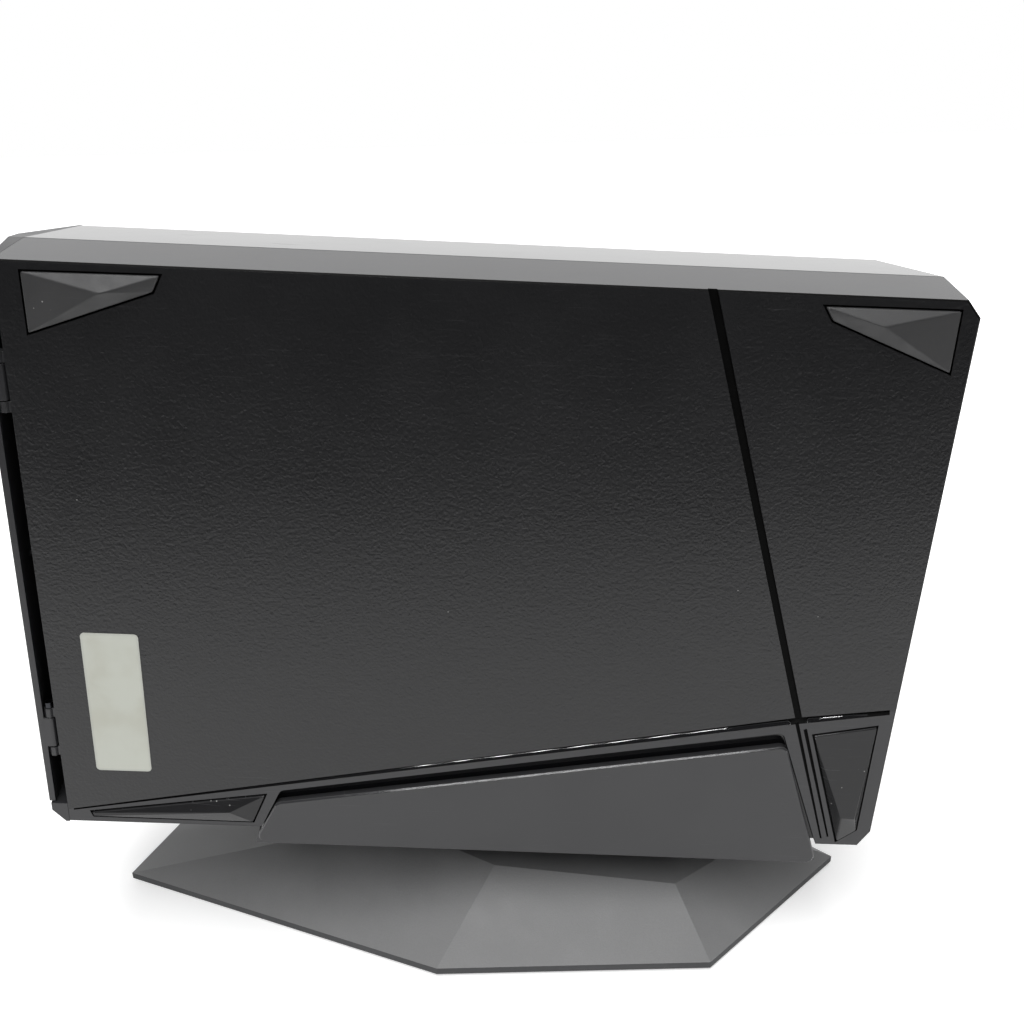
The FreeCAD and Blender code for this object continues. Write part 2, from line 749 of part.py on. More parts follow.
def label():
    """A bare paper label with rounded corners."""
    return rounded(prism_y(label_outline, -0.2, 0.0), Vector(0, 1, 0), 1.2)


# Stand
def table_point(x, y):
    """A point of the plan, given in the housing's frame, on the table."""
    tilt = math.radians(lean)
    z = (x * math.sin(tilt) - housing_lift) / math.cos(tilt)
    return (x * math.cos(tilt) + z * math.sin(tilt), y)


plan = {
    "front_tip": (9.2, mid_y),
    "front_near": (112.6, mid_y - base_half),
    "rear_near": (from_rear(44.4), mid_y - base_half),
    "rear_tip": (from_rear(-2.6), mid_y),
    "rear_far": (from_rear(44.4), mid_y + base_half),
    "front_far": (26.6, mid_y + base_half),
}
ridge_front = (94.0, mid_y)  # where the side facets meet on the mid-plane
ridge_rear = (from_rear(22.0), mid_y)
stand_screw_spots = ((120.0, mid_y), (170.0, mid_y))
floor_points = {name: table_point(*spot) for name, spot in plan.items()}


def ridge_point(spot):
    """A point at the height of the base's flat top, given in the housing's frame."""
    tilt = math.radians(lean)
    x = spot[0] * math.cos(tilt) + stand_top * math.sin(tilt)
    z = -spot[0] * math.sin(tilt) + stand_top * math.cos(tilt) + housing_lift
    return Vector(x, spot[1], z)


def slab_over(points, drop):
    """Everything above a plane through three points, the plane moved down by the drop."""
    a, b, c = points
    up = (b - a).cross(c - a).normalize()
    if up.z < 0:
        up = up * -1
    along = (b - a).normalize()
    across = up.cross(along)
    origin = a - up * drop
    corners = [origin + along * s * 400 + across * t * 400 for s, t in ((-1, -1), (1, -1), (1, 1), (-1, 1))]
    return face_of(corners).extrude(up * 200)


def base_form(inset):
    """The base's outer form, or its hollow when an inset is given."""
    outline = grown(list(floor_points.values()), -inset) if inset else list(floor_points.values())
    bottom = edge_lift if not inset else edge_lift - 1
    form = prism_z(outline, bottom, 60.0)
    rim = {name: Vector(x, y, edge_lift + edge_band) for name, (x, y) in floor_points.items()}
    high_front, high_rear = ridge_point(ridge_front), ridge_point(ridge_rear)
    rise = Vector(0, 1, math.tan(math.radians(facet_slope)))
    fall = Vector(0, -1, math.tan(math.radians(facet_slope)))
    planes = [
        (rim["front_tip"], rim["front_near"], high_front),
        (rim["front_near"], rim["rear_near"], rim["front_near"] + rise),
        (rim["rear_near"], rim["rear_tip"], high_rear),
        (rim["rear_tip"], rim["rear_far"], high_rear),
        (rim["front_far"], rim["rear_far"], rim["front_far"] + fall),
        (rim["front_far"], rim["front_tip"], high_front),
    ]
    top = on_table(box(-100, 400, -100, 200, stand_top - inset, stand_top + 200))
    return form.cut([slab_over(plane, inset) for plane in planes] + [top])


def pad_spots():
    """Centre and direction of the four pads, just inside the base's corners."""
    inside = 7.0
    spots = []
    for corner, other in (("front_near", "front_tip"), ("rear_near", "front_near"),
                          ("front_far", "rear_far"), ("rear_far", "front_far")):
        (ax, ay), (bx, by) = floor_points[corner], floor_points[other]
        length = math.hypot(bx - ax, by - ay)
        ux, uy = (bx - ax) / length, (by - ay) / length
        side = 1.0 if ay < mid_y else -1.0
        nx, ny = (-uy, ux) if (ux * side) > 0 else (uy, -ux)
        if ny * side < 0:
            nx, ny = -nx, -ny
        spots.append((ax + ux * 19 + nx * inside, ay + uy * 19 + ny * inside, (ux, uy)))
    return spots


def pad_block(x, y, direction, grow, z0, z1):
    """An upright block in the plan of a pad, grown on all sides."""
    ux, uy = direction
    half, side = pad_length / 2 + grow, pad_width / 2 + grow
    outline = [(x + ux * s * half - uy * t * side, y + uy * s * half + ux * t * side)
               for s, t in ((-1, -1), (1, -1), (1, 1), (-1, 1))]
    return prism_z(outline, z0, z1)


def stand_base():
    """Faceted hollow base with its ribs, pad pockets and screw bosses."""
    solid = base_form(0.0)
    hollow = base_form(base_wall)
    ribs = [box(20, from_rear(13), mid_y - rib / 2, mid_y + rib / 2, edge_lift + 1, 40)]
    for x in (70.0, 104.0, from_rear(42.0)):
        ribs.append(box(x - rib / 2, x + rib / 2, mid_y - base_half, mid_y + base_half, edge_lift + 1, 40))
    for x, y, direction in pad_spots():
        ribs.append(pad_block(x, y, direction, 1.6, edge_lift, 40))
    bosses = []
    for x, y in stand_screw_spots:
        bosses.append(on_table(prism_z(eight_sided((x, y), 4.8), stand_top - 9, stand_top)))
    inside = [rib.common(hollow) for rib in ribs + bosses]
    body = union(solid.cut(hollow), *[piece for piece in inside if piece.Volume > 1])
    tools = []
    for x, y, direction in pad_spots():
        tools.append(pad_block(x, y, direction, 0.1, -1, edge_lift + pad_sunk))
    for x, y in stand_screw_spots:
        tools.append(on_table(prism_z(eight_sided((x, y), screw_shank + 0.4), stand_top - 12, stand_top + 2)))
        tools.append(on_table(prism_z(eight_sided((x, y), 3.2), stand_top - 20, stand_top - 3)))
    return taken(body, *tools)


def stand_pads():
    """Four rubber pads under the base."""
    pads = []
    for x, y, direction in pad_spots():
        pads.append(pad_block(x, y, direction, 0, 0, pad_height))
    return group(*pads)


def cheek_plate(outer_y, inner_y):
    """A cheek whose outer face has a bevel all round."""
    low, high = min(outer_y, inner_y), max(outer_y, inner_y)
    plate = rounded(prism_y(cheek_outline, low, high), Vector(0, 1, 0), cheek_round)
    rim = []
    for edge in plate.Edges:
        if all(abs(vertex.Y - outer_y) < 1e-6 for vertex in edge.Vertexes):
            rim.append(edge)
    return plate.makeChamfer(cheek_bevel, rim)


def stand_cradle():
    """Cradle: two cheeks, a floor between them and the neck that stands on the base."""
    floor_top = -skirt_flare - cradle_clear
    floor_low = floor_top - cradle_floor
    near, far = -cheek_proud, housing_depth + 0.4 + cheek
    near_cheek = cheek_plate(near, near + cheek)
    far_cheek = cheek_plate(far, far - cheek)
    outline = [(58.0, floor_low + 0.2), (from_rear(14.6), floor_low + 0.2)]
    outline += [(from_rear(16.4), floor_top), (59.2, floor_top)]
    floor = prism_y(outline, near + cheek / 2, far - cheek / 2)
    wires = []
    for z, front, rear, half in ((stand_top, 106, 52, 12.5), (floor_low + 0.3, 98, 46, 15.5)):
        corners = ((front, -half), (from_rear(rear), -half), (from_rear(rear), half), (front, half))
        points = [Vector(x, mid_y + y, z) for x, y in corners]
        wires.append(Part.makePolygon([*points, points[0]]))
    neck = Part.makeLoft(wires, True, True)
    holes = []
    for spot in stand_screw_spots:
        holes.append(prism_z(eight_sided(spot, screw_shank + 0.1), stand_top - 1, stand_top + 12))
    return taken(union(near_cheek, far_cheek, floor, neck), *holes)


def stand_screws():
    """Two screws from below that hold the cradle on the base."""
    screws = []
    for x, y in stand_screw_spots:
        head = rod("z", x, y, stand_top - 5.2, 2.9, 2.2)
        shank = prism_z(eight_sided((x, y), screw_shank + 0.05), stand_top - 3.1, stand_top + 9.9)
        screws.append(on_table(union(head, shank)))
    return group(*screws)


# Disc unit
def case_top():
    """The disc unit's far cover, with a shallow dent pressed in it."""
    low, high = unit_low, unit_high
    outer = box(unit_front + bezel, unit_rear, cover_split, unit_far, low, high)
    inner = box(0, unit_rear - sheet, cover_split - 10, unit_far - sheet, low + sheet, high - sheet)
    dent = box(unit_front + 40, unit_rear - 50, unit_far - 0.35, unit_far + 1, disc_z - 30, disc_z + 30)
    return taken(outer, inner, dent)


def case_bottom():
    """The disc unit's near cover, open where the connector is."""
    low, high = unit_low, unit_high
    outer = box(unit_front + bezel, unit_rear, unit_near, cover_split - 0.2, low, high)
    inner = box(0, unit_rear - sheet, unit_near + sheet, cover_split + 10, low + sheet, high - sheet)
    plug_top = board_top + plug_height + 2.4
    rear = box(unit_rear - 2, unit_rear + 1, unit_near + sheet, plug_top, mid_z - 21.5, mid_z + 22.5)
    holes = [rod("y", x, unit_near - 1, z, 1.6, 3) for x, z in unit_pins]
    return taken(outer, inner, rear, *holes)


def unit_front_plate():
    """The disc unit's own front, with the tray's opening."""
    low, high = disc_z - tray_width / 2 - 0.7, disc_z + tray_width / 2 + 0.7
    plate = box(unit_front, unit_front + bezel, unit_near, unit_far, unit_low, unit_high)
    gap = box(unit_front - 1, unit_front + bezel + 1, tray_skirt - 0.5, tray_top + 0.6, low, high)
    return taken(plate, gap)


def frame_ends():
    """Where the frame inside the disc unit starts and stops."""
    return unit_front + 5.0, unit_rear - 2.0


def rail():
    """One of the two rails that carry the tray: side wall, ledge, guide and three hooks."""
    low = unit_low + sheet + 0.3
    edge = disc_z - tray_width / 2
    front, back = frame_ends()
    side = box(front, back, unit_near + sheet + 0.2, tray_top + 1, low, low + rail_wall)
    ledge = box(front, back, tray_skirt - 3.0, tray_skirt - tray_gap, low, edge + 2.5)
    guide = box(front, back, tray_skirt - tray_gap - 0.1, tray_top + 1, low, edge - tray_gap)
    hooks = []
    for x in (front + 4, front + 80, back - 10):
        hooks.append(box(x, x + 8, tray_top + tray_gap, tray_top + 1.6, low, edge + 1.8))
    return union(side, ledge, guide, *hooks)


def bracket_middles():
    """Heights of the two trunnion brackets."""
    return disc_z - bracket_offset, disc_z + bracket_offset


def unit_frame():
    """Moulded frame: both rails, cross plate with the gear pins, walls and trunnion brackets."""
    low = unit_low + sheet + 0.3
    high = unit_high - sheet - 0.3
    front, back = frame_ends()
    floor = unit_near + sheet + 0.4
    gear_room = rod("y", gear_x, gear_near - 0.5, gear_z, wheel_radius() + 1.5, 3.6)
    plate = box(front, cam_pin_x - 5.0, plate_far - 1.5, plate_far, low + 1, high - 1)
    plate = plate.cut(rod("y", motor_x, plate_far - 4.5, motor_z, 3.4, 8))
    cross_wall = box(cam_pin_x - 5.0, cam_pin_x - 2.2, floor, plate_far, low + 1, high - 1)
    rear = box(back - 3, back, floor, tray_skirt - 5, low + 1, high - 1)
    plug_top = board_top + plug_height + 1.4
    rear = rear.cut(box(back - 8, back + 2, floor - 1, plug_top, disc_z - 23.5, disc_z + 23.5))
    step_x, step_z = step_centre()
    pins = [
        rod("y", gear_x, plate_far - 0.5, gear_z, gear_pin, 10.8),
        rod("y", step_x, plate_far - 0.5, step_z, step_pin, 8.0),
    ]
    brackets = []
    pivot_x, pivot_y = deck_pivot
    for z, edge in zip(bracket_middles(), (low + 1, high - 1)):
        near, arm_low, arm_high = pivot_y - 6.5, min(edge, z), max(edge, z)
        brackets.append(box(pivot_x - 7, pivot_x + 7, near, pivot_y + 6.5, z - 4, z + 4))
        brackets.append(box(pivot_x - 7, pivot_x + 7, near, pivot_y - 3.5, arm_low, arm_high))
    body = taken(union(rail(), mirrored(rail()), plate, cross_wall, rear, *brackets), gear_room)
    bores = [rod("z", pivot_x, pivot_y, z - 5, damper_radius, 10) for z in bracket_middles()]
    return taken(union(body, *pins), *bores)


def deck_dampers():
    """Rubber bushings round the deck's two trunnions."""
    inner = trunnion_radius + run_gap
    return group(*[ring("z", *deck_pivot, z - 4, damper_radius, inner, 8.0) for z in bracket_middles()])


def clamp_bridge():
    """Sheet bridge above the tray, with the clamp's opening."""
    low, high = unit_low + sheet + 0.5, unit_high - sheet - 0.5
    foot, under = tray_top + 1.0, tray_top + 2.2
    strip = box(disc_x - 14, disc_x + 14, under, under + 1.0, low, high)
    legs = [box(disc_x - 14, disc_x + 14, foot, under + 0.1, z, z + 6) for z in (low, high - 6)]
    return taken(union(strip, *legs), rod("y", disc_x, tray_top, disc_z, 11.6, 5))


def clamp_puck():
    """Free-turning clamp that holds the disc on the turntable."""
    body = union(
        rod("y", disc_x, tray_top + 0.6, disc_z, 11.0, 3.0),
        rod("y", disc_x, tray_top + 3.4, disc_z, 14.0, 1.2),
    )
    return taken(body, rod("y", disc_x, tray_top, disc_z, 4.2, 1.6))


def involute(radius, base):
    """The involute function at a radius, for the given base circle."""
    angle = math.acos(min(1.0, base / radius))
    return math.tan(angle) - angle


def toothed(teeth, module, y0, y1, x, z, turn):
    """A spur wheel about the y axis, with one tooth centred on the given direction."""
    pitch = teeth * module / 2
    base = pitch * math.cos(math.radians(20))
    root, tip = pitch - dedendum * module, pitch + addendum * module
    half = (math.pi * pitch / teeth - mesh_play) / (2 * pitch)
    steps = [(root, half + involute(pitch, base) - involute(max(root, base), base))]
    for radius in ((base + pitch) / 2, tip):
        steps.append((radius, half + involute(pitch, base) - involute(radius, base)))
    points = []
    for tooth in range(teeth):
        middle = math.radians(turn) + 2 * math.pi * tooth / teeth
        for radius, angle in steps:
            points.append((middle - angle, radius))
        for radius, angle in reversed(steps):
            points.append((middle + angle, radius))
    return prism_y([(x + r * math.cos(a), z + r * math.sin(a)) for a, r in points], y0, y1)


def wheel_radius():
    """Pitch radius of the driven wheel."""
    return wheel_teeth * wheel_module / 2


def step_centre():
    """Axis of the belt wheel, in mesh with the driven wheel."""
    reach = (wheel_teeth + step_teeth) * wheel_module / 2
    turn = math.radians(step_angle)
    return gear_x + reach * math.cos(turn), gear_z + reach * math.sin(turn)


def loading_gear():
    """Double wheel: the lower one is driven, the upper one drives the tray's rack."""
    pinion = toothed(pinion_teeth, pinion_module, gear_mid, tray_under - 0.2, gear_x, gear_z, -90.0)
    wheel = toothed(wheel_teeth, wheel_module, gear_near, gear_mid, gear_x, gear_z, step_angle)
    return taken(union(pinion, wheel), rod("y", gear_x, gear_near - 2, gear_z, gear_pin + run_gap, 20))


def grooved_pulley(x, z, radius, y0, width, bore):
    """A pulley with a belt groove in its rim."""
    middle, rim, groove = width / 2, radius + 1.0, radius - 0.05
    profile = [(bore, 0), (rim, 0), (rim, 0.5), (groove, middle - 0.7), (groove, middle + 0.7)]
    profile += [(rim, width - 0.5), (rim, width), (bore, width)]
    section = face_of([Vector(r, y0 + y, 0) for r, y in profile])
    pulley = section.revolve(Vector(0, 0, 0), Vector(0, 1, 0), 360)
    pulley.translate(Vector(x, 0, z))
    return pulley


def pulley_gear():
    """Belt wheel in one with the small gear that drives the loading wheel."""
    x, z = step_centre()
    turn = step_angle + 180 + 180.0 / step_teeth
    small = toothed(step_teeth, wheel_module, pulley_near + pulley_width - 0.1, gear_mid, x, z, turn)
    small = small.cut(rod("y", x, pulley_near, z, step_pin + run_gap, 20))
    return union(small, grooved_pulley(x, z, pulley_radius, pulley_near, pulley_width, step_pin + run_gap))


def motor_pulley():
    """Small pulley on the loading motor's shaft."""
    return grooved_pulley(motor_x, motor_z, motor_pulley_radius, pulley_near, pulley_width, 1.0)


def belt_loop(grow, y0, y1):
    """The outline of a belt round both pulleys, grown outwards."""
    ax, az = step_centre()
    bx, bz = motor_x, motor_z
    ra, rb = pulley_radius + grow, motor_pulley_radius + grow
    span = math.hypot(bx - ax, bz - az)
    heading = math.atan2(bz - az, bx - ax)
    lean_in = math.acos((ra - rb) / span)
    edges = []
    corners = {}
    for side in (1, -1):
        angle = heading + side * lean_in
        corners[side] = (Vector(ax + ra * math.cos(angle), y0, az + ra * math.sin(angle)),
                         Vector(bx + rb * math.cos(angle), y0, bz + rb * math.sin(angle)))
        edges.append(Part.LineSegment(*corners[side]).toShape())
    back = Vector(ax - ra * math.cos(heading), y0, az - ra * math.sin(heading))
    nose = Vector(bx + rb * math.cos(heading), y0, bz + rb * math.sin(heading))
    edges.append(Part.Arc(corners[1][0], back, corners[-1][0]).toShape())
    edges.append(Part.Arc(corners[1][1], nose, corners[-1][1]).toShape())
    wire = Part.Wire(Part.__sortEdges__(edges))
    return Part.Face(wire).extrude(Vector(0, y1 - y0, 0))


def drive_belt():
    """Square rubber belt round both pulleys."""
    y0 = pulley_near + (pulley_width - belt_thick) / 2
    return belt_loop(belt_thick, y0, y0 + belt_thick).cut(belt_loop(0.02, y0, y0 + belt_thick))


def loading_motor():
    """Motor can with its collar and shaft."""
    near, far = unit_near + 6.4, plate_far - 1.7
    can = rod("y", motor_x, near, motor_z, motor_radius, far - near)
    collar = rod("y", motor_x, far, motor_z, 3.2, 1.6)
    shaft = rod("y", motor_x, far + 1.5, motor_z, 1.0 - run_gap, 4.0)
    return union(can, collar, shaft)


def disc_tray():
    """The loading tray: disc well, open pickup slot, skirts, retaining tabs and rack."""
    front, back = unit_front + 3.4, unit_front + 3.4 + tray_length
    low, high = disc_z - tray_width / 2, disc_z + tray_width / 2
    cut = 4.0
    outline = [(front, low), (back - cut, low), (back, low + cut)]
    outline += [(back, high - cut), (back - cut, high), (front, high)]
    body = prism_y(outline, tray_skirt, tray_top)
    inner = grown(outline, -2.5)
    inner = [(max(x, front + 2.5), z) for x, z in inner]
    hollow = prism_y(inner, tray_skirt - 1, tray_under)
    well = rod("y", disc_x, well_floor, disc_z, disc_radius + well_clear, 10)
    small_well = rod("y", disc_x, well_floor - 0.5, disc_z, 40.4, 10)
    slot = union(
        rod("y", disc_x, tray_skirt - 3, disc_z, slot_width / 2, 15),
        box(disc_x, back + 2, tray_skirt - 3, tray_top + 5, disc_z - slot_width / 2, disc_z + slot_width / 2),
    )
    notches = []
    for x in (disc_x - 44, disc_x + 44):
        for z in (low + 15, high - 15):
            notches.append(rod("y", x, well_floor, z, 7.5, 10))
    reach = (pinion_teeth / 2 + addendum) * pinion_module + 0.6
    way_out = box(back - 20, back + 2, tray_skirt - 1, tray_under, gear_z - reach, gear_z + reach)
    body = taken(body, hollow, well, small_well, slot, way_out, *notches)
    tabs = []
    for x in (disc_x - 22, disc_x + 22):
        for z in (low, high):
            tip = z + 9.0 if z == low else z - 9.0
            tabs.append(box(x - 3, x + 3, tray_top - 1.0, tray_top, min(z, tip), max(z, tip)))
    walls = []
    for z in (disc_z - slot_width / 2 - 1.6, disc_z + slot_width / 2):
        walls.append(box(front + 44, back, tray_skirt, tray_under, z, z + 1.6))
    return union(body, rack(), *tabs, *walls)


def rack():
    """A straight rack under the tray's lower edge, in mesh with the pinion."""
    pitch_line = gear_z - pinion_teeth * pinion_module / 2
    pitch = math.pi * pinion_module
    root, tip = pitch_line - dedendum * pinion_module, pitch_line + addendum * pinion_module
    slope = math.tan(math.radians(20))
    half = (pitch - mesh_play) / 4
    start, end = gear_x - 4.0, gear_x + tray_travel + rack_spare
    edge = disc_z - tray_width / 2 + 2.0
    points = [(start, edge), (start, root)]
    first = math.ceil((start - gear_x) / pitch - 0.5)
    last = math.floor((end - gear_x) / pitch - 0.5)
    for number in range(first, last):
        middle = gear_x + (number + 0.5) * pitch
        if middle - half - 0.5 < start:
            continue
        at_root, at_tip = half + (pitch_line - root) * slope, half - (tip - pitch_line) * slope
        points += [(middle - at_root, root), (middle - at_tip, tip)]
        points += [(middle + at_tip, tip), (middle + at_root, root)]
    points += [(end, root), (end, edge)]
    return prism_y(points, tray_skirt + 0.2, tray_under + 0.1)


def tray_front():
    """The tray's own front plate."""
    low, high = disc_z - tray_width / 2 - 0.3, disc_z + tray_width / 2 + 0.3
    return box(unit_front + 0.2, unit_front + 3.4, tray_skirt - 0.2, tray_top + 0.3, low, high)


def cam_slider():
    """Cross slide whose slanted slots lower the deck."""
    near, far = unit_near + 2.5, plate_far - 1.5
    plate = box(cam_pin_x - 1.7, cam_pin_x + 1.7, near, far, disc_z - 38.0, disc_z + 34.0)
    drop = (deck_pivot[0] - cam_pin_x) * math.tan(math.radians(deck_drop))
    run = math.hypot(drop, cam_travel)
    width = cam_pin_radius + cam_play
    spare = 0.6
    tools = []
    for z in (disc_z - cam_pin_offset, disc_z + cam_pin_offset):
        ny, nz = cam_travel / run * width, -drop / run * width
        y0, y1 = deck_pivot[1] + spare, deck_pivot[1] - drop - spare
        z0, z1 = z + spare * cam_travel / drop, z - cam_travel - spare * cam_travel / drop
        outline = [(y0 + ny, z0 + nz), (y1 + ny, z1 + nz), (y1 - ny, z1 - nz), (y0 - ny, z0 - nz)]
        tools.append(prism_x(outline, cam_pin_x - 5, cam_pin_x + 5))
        tools.append(rod("x", cam_pin_x - 5, y0, z0, width, 10))
        tools.append(rod("x", cam_pin_x - 5, y1, z1, width, 10))
    return taken(plate, *tools)


def traverse_deck():
    """Stamped deck: pickup window, rod posts, cam pins in front, trunnions behind."""
    low, high = disc_z - deck_half, disc_z + deck_half
    near, far = deck_pivot[1] - 1, deck_pivot[1] + 1
    plate = box(deck_front, deck_pivot[0] + 4, near, far, low, high)
    window = box(disc_x + 16, deck_pivot[0] - 6, near - 1, far + 1, disc_z - 15, disc_z + 15)
    plate = plate.cut(window)
    plate = plate.cut(rod("y", disc_x, near - 1, disc_z, 4.0, 5))
    pieces = [plate]
    for z in (disc_z - cam_pin_offset, disc_z + cam_pin_offset):
        reach = deck_front - cam_pin_x + 3
        pieces.append(rod("x", cam_pin_x - 1.9, deck_pivot[1], z, cam_pin_radius, reach))
    pivot_x, pivot_y = deck_pivot
    reach = bracket_offset - deck_half + 3.9
    for start, foot in ((low - reach, low), (high, high - 4)):
        pieces.append(rod("z", pivot_x, pivot_y, start, trunnion_radius, reach))
        pieces.append(box(pivot_x - 3, pivot_x + 3, near, far + 1, foot, foot + 4))
    for x in (disc_x + 15, pivot_x - 3):
        for z in (disc_z - rod_offset, disc_z + rod_offset):
            saddle = box(x - 1, x + 1, far - 0.5, rod_y + 0.9, z - 2.6, z + 2.6)
            low_side, high_side = z - rod_radius, z + rod_radius
            pieces.append(saddle.cut(box(x - 2, x + 2, rod_y - rod_radius, rod_y + 2, low_side, high_side)))
    return union(*pieces)


def guide_rods():
    """The two rods that the sled runs on."""
    start, end = disc_x + 14, deck_pivot[0] - 2
    spots = (disc_z - rod_offset, disc_z + rod_offset)
    return group(*[rod("x", start, rod_y, z, rod_radius, end - start) for z in spots])


def spindle_motor():
    """Stator with its bearing tube, set in the deck."""
    base = deck_pivot[1] + 1
    body = union(
        prism_y(eight_sided((disc_x, disc_z), 13.0), base, base + 1.0),
        rod("y", disc_x, base + 0.5, disc_z, 10.5, 8.0),
        rod("y", disc_x, base - 4, disc_z, 3.9, 5.0),
    )
    return taken(body, rod("y", disc_x, base - 3, disc_z, 1.5 + run_gap, 15))


def turntable():
    """Rotor cup, shaft and turntable with its centring hub."""
    base = deck_pivot[1] + 1
    shaft = [(0, base - 2.9), (1.5, base - 2.9), (1.5, base + 9.4)]
    cup = [(11.6, base + 9.4), (11.6, base + 1.6), (13.2, base + 1.6), (13.2, base + 10.9), (4, base + 10.9)]
    under, top = tray_under + 0.5, tray_under + 2.7
    plate = [(4, under), (14.5, under), (14.5, top)]
    hub = [(hub_radius, top), (hub_radius, top + 0.9), (hub_radius - 1.6, top + 2.2), (0, top + 2.2)]
    profile = shaft + cup + plate + hub
    spun = face_of([Vector(r, y, 0) for r, y in profile]).revolve(Vector(0, 0, 0), Vector(0, 1, 0), 360)
    spun.translate(Vector(disc_x, 0, disc_z))
    return spun


def pickup_sled():
    """Cast sled on two rods, with the optics bay open beside the lens."""
    front = disc_x + lens_start - 7.0
    back = front + 24.0
    low, high = rod_y - 2.1, rod_y + 2.4
    body = box(front, back, rod_y - 2.6, rod_y + 7.6, disc_z - 14, disc_z + 14)
    rods = (disc_z - rod_offset, disc_z + rod_offset)
    arms = [box(front, front + 16, low, high, z - 3.4, z + 3.4) for z in rods]
    bars = [box(front, front + 16, low, high, disc_z - rod_offset, disc_z - 13),
            box(front, front + 16, low, high, disc_z + 13, disc_z + rod_offset),
            box(front, front + 8, low, high, disc_z + rod_offset, disc_z + screw_offset + 2.2)]
    bay = box(front + 15, back - 1.5, rod_y + 2, rod_y + 11, disc_z - 9, disc_z + 9)
    cup = box(front + 1.5, front + 13.5, rod_y + 5, rod_y + 11, disc_z - 9.5, disc_z + 9.5)
    body = taken(union(body, *arms, *bars), bay, cup)
    bores = [rod("x", front - 1, rod_y, z, rod_radius + run_gap, 40) for z in rods]
    nut = rod("x", front - 1, rod_y, disc_z + screw_offset, 1.25 + run_gap, 40)
    return taken(body, *bores, nut)


def lens_carrier():
    """Moving block that holds the lens over its light path."""
    middle = disc_x + lens_start
    body = box(middle - 4.5, middle + 5.5, lens_base - 3.0, lens_base + 1.4, disc_z - 8.0, disc_z + 8.0)
    pocket = rod("y", middle, lens_base, disc_z, 3.0, 3)
    return taken(body, pocket, rod("y", middle, lens_base - 4.2, disc_z, 2.2, 6))


def objective_lens():
    """Domed lens in its pocket."""
    dome = Part.makeSphere(4.2, Vector(disc_x + lens_start, lens_base - 1.4, disc_z))
    return dome.common(rod("y", disc_x + lens_start, lens_base, disc_z, 2.95, 5))


def lead_screw():
    """Screw that moves the sled along its rods."""
    return rod("x", disc_x + screw_start, rod_y, disc_z + screw_offset, 1.25, screw_length)


def sled_motor():
    """Stepping motor with its mounting plate, which also carries the screw's far end."""
    x = disc_x + screw_start + screw_length + 0.2
    z = disc_z + screw_offset
    far = deck_pivot[1] + 1
    body = rod("x", x + 0.8, rod_y, z, 3.9, 10.0)
    plate = box(x, x + 0.9, far, rod_y + 4.2, z - 4.0, z + 3.9)
    nose = box(disc_x + 14.4, disc_x + 15.4, far, rod_y + 2.0, z - 2.2, z + 2.2)
    sole = box(disc_x + 14.4, x + 0.9, far, far + 0.6, z - 1.8, z + 1.4)
    return union(body, plate, nose, sole)


def drive_board():
    """The disc unit's main board."""
    return box(unit_rear - 90.0, unit_rear - 5.5, board_y, board_top, disc_z - 57.5, disc_z + 57.5)


def drive_chips():
    """Controller, motor driver, memory and laser driver on the disc unit's board."""
    back, height = unit_rear - 60.0, 1.2
    return group(
        box(back, back + 16, board_top, board_top + 1.4, disc_z - 7.5, disc_z + 8.5),
        box(back - 20, back - 10, board_top, board_top + height, disc_z + 18.5, disc_z + 26.5),
        box(back + 24, back + 32, board_top, board_top + height, disc_z - 21.5, disc_z - 15.5),
        box(back - 14, back - 6, board_top, board_top + height, disc_z - 31.5, disc_z - 23.5),
    )


def main():
    os.makedirs("parts", exist_ok=True)
    pieces = {
        "lower_shell": lower_shell, "upper_shell": upper_shell, "front_frame": front_frame,
        "flap_door": flap_door, "flap_pins": flap_pins, "flap_spring": flap_spring,
        "eject_button": eject_button, "switch_board": switch_board, "tact_switch": tact_switch,
        "lamp_guide": lamp_guide, "rubber_feet": rubber_feet, "gloss_feet": gloss_feet, "label": label,
        "shell_screws": shell_screws, "usb_socket": usb_socket, "dc_jack": dc_jack,
        "bridge_board": bridge_board, "bridge_chips": bridge_chips, "board_screws": board_screws,
        "sata_plug": sata_plug, "sata_socket": sata_socket, "case_top": case_top, "case_bottom": case_bottom,
        "unit_front_plate": unit_front_plate, "unit_frame": unit_frame, "deck_dampers": deck_dampers,
        "clamp_bridge": clamp_bridge, "clamp_puck": clamp_puck, "loading_gear": loading_gear,
        "pulley_gear": pulley_gear, "motor_pulley": motor_pulley, "drive_belt": drive_belt,
        "loading_motor": loading_motor, "disc_tray": disc_tray, "tray_front": tray_front,
        "cam_slider": cam_slider, "traverse_deck": traverse_deck, "guide_rods": guide_rods,
        "spindle_motor": spindle_motor, "turntable": turntable, "pickup_sled": pickup_sled,
        "lens_carrier": lens_carrier, "objective_lens": objective_lens, "lead_screw": lead_screw,
        "sled_motor": sled_motor, "drive_board": drive_board, "drive_chips": drive_chips,
        "stand_cradle": stand_cradle,
    }
    extent = on_table(housing_slice(0.0, housing_depth)).BoundBox
    middle = (extent.XMin + extent.XMax) / 2
    print("origin", round(middle, 4), "mm behind the housing's front edge")
    for name, build in pieces.items():
        save(name, build(), middle)
    upright = {"stand_base": stand_base, "stand_pads": stand_pads, "stand_screws": stand_screws}
    for name, build in upright.items():
        save(name, build(), middle, leaning=False)


main()
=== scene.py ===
import json
import math
import bmesh
import bpy
from mathutils import Matrix, Vector

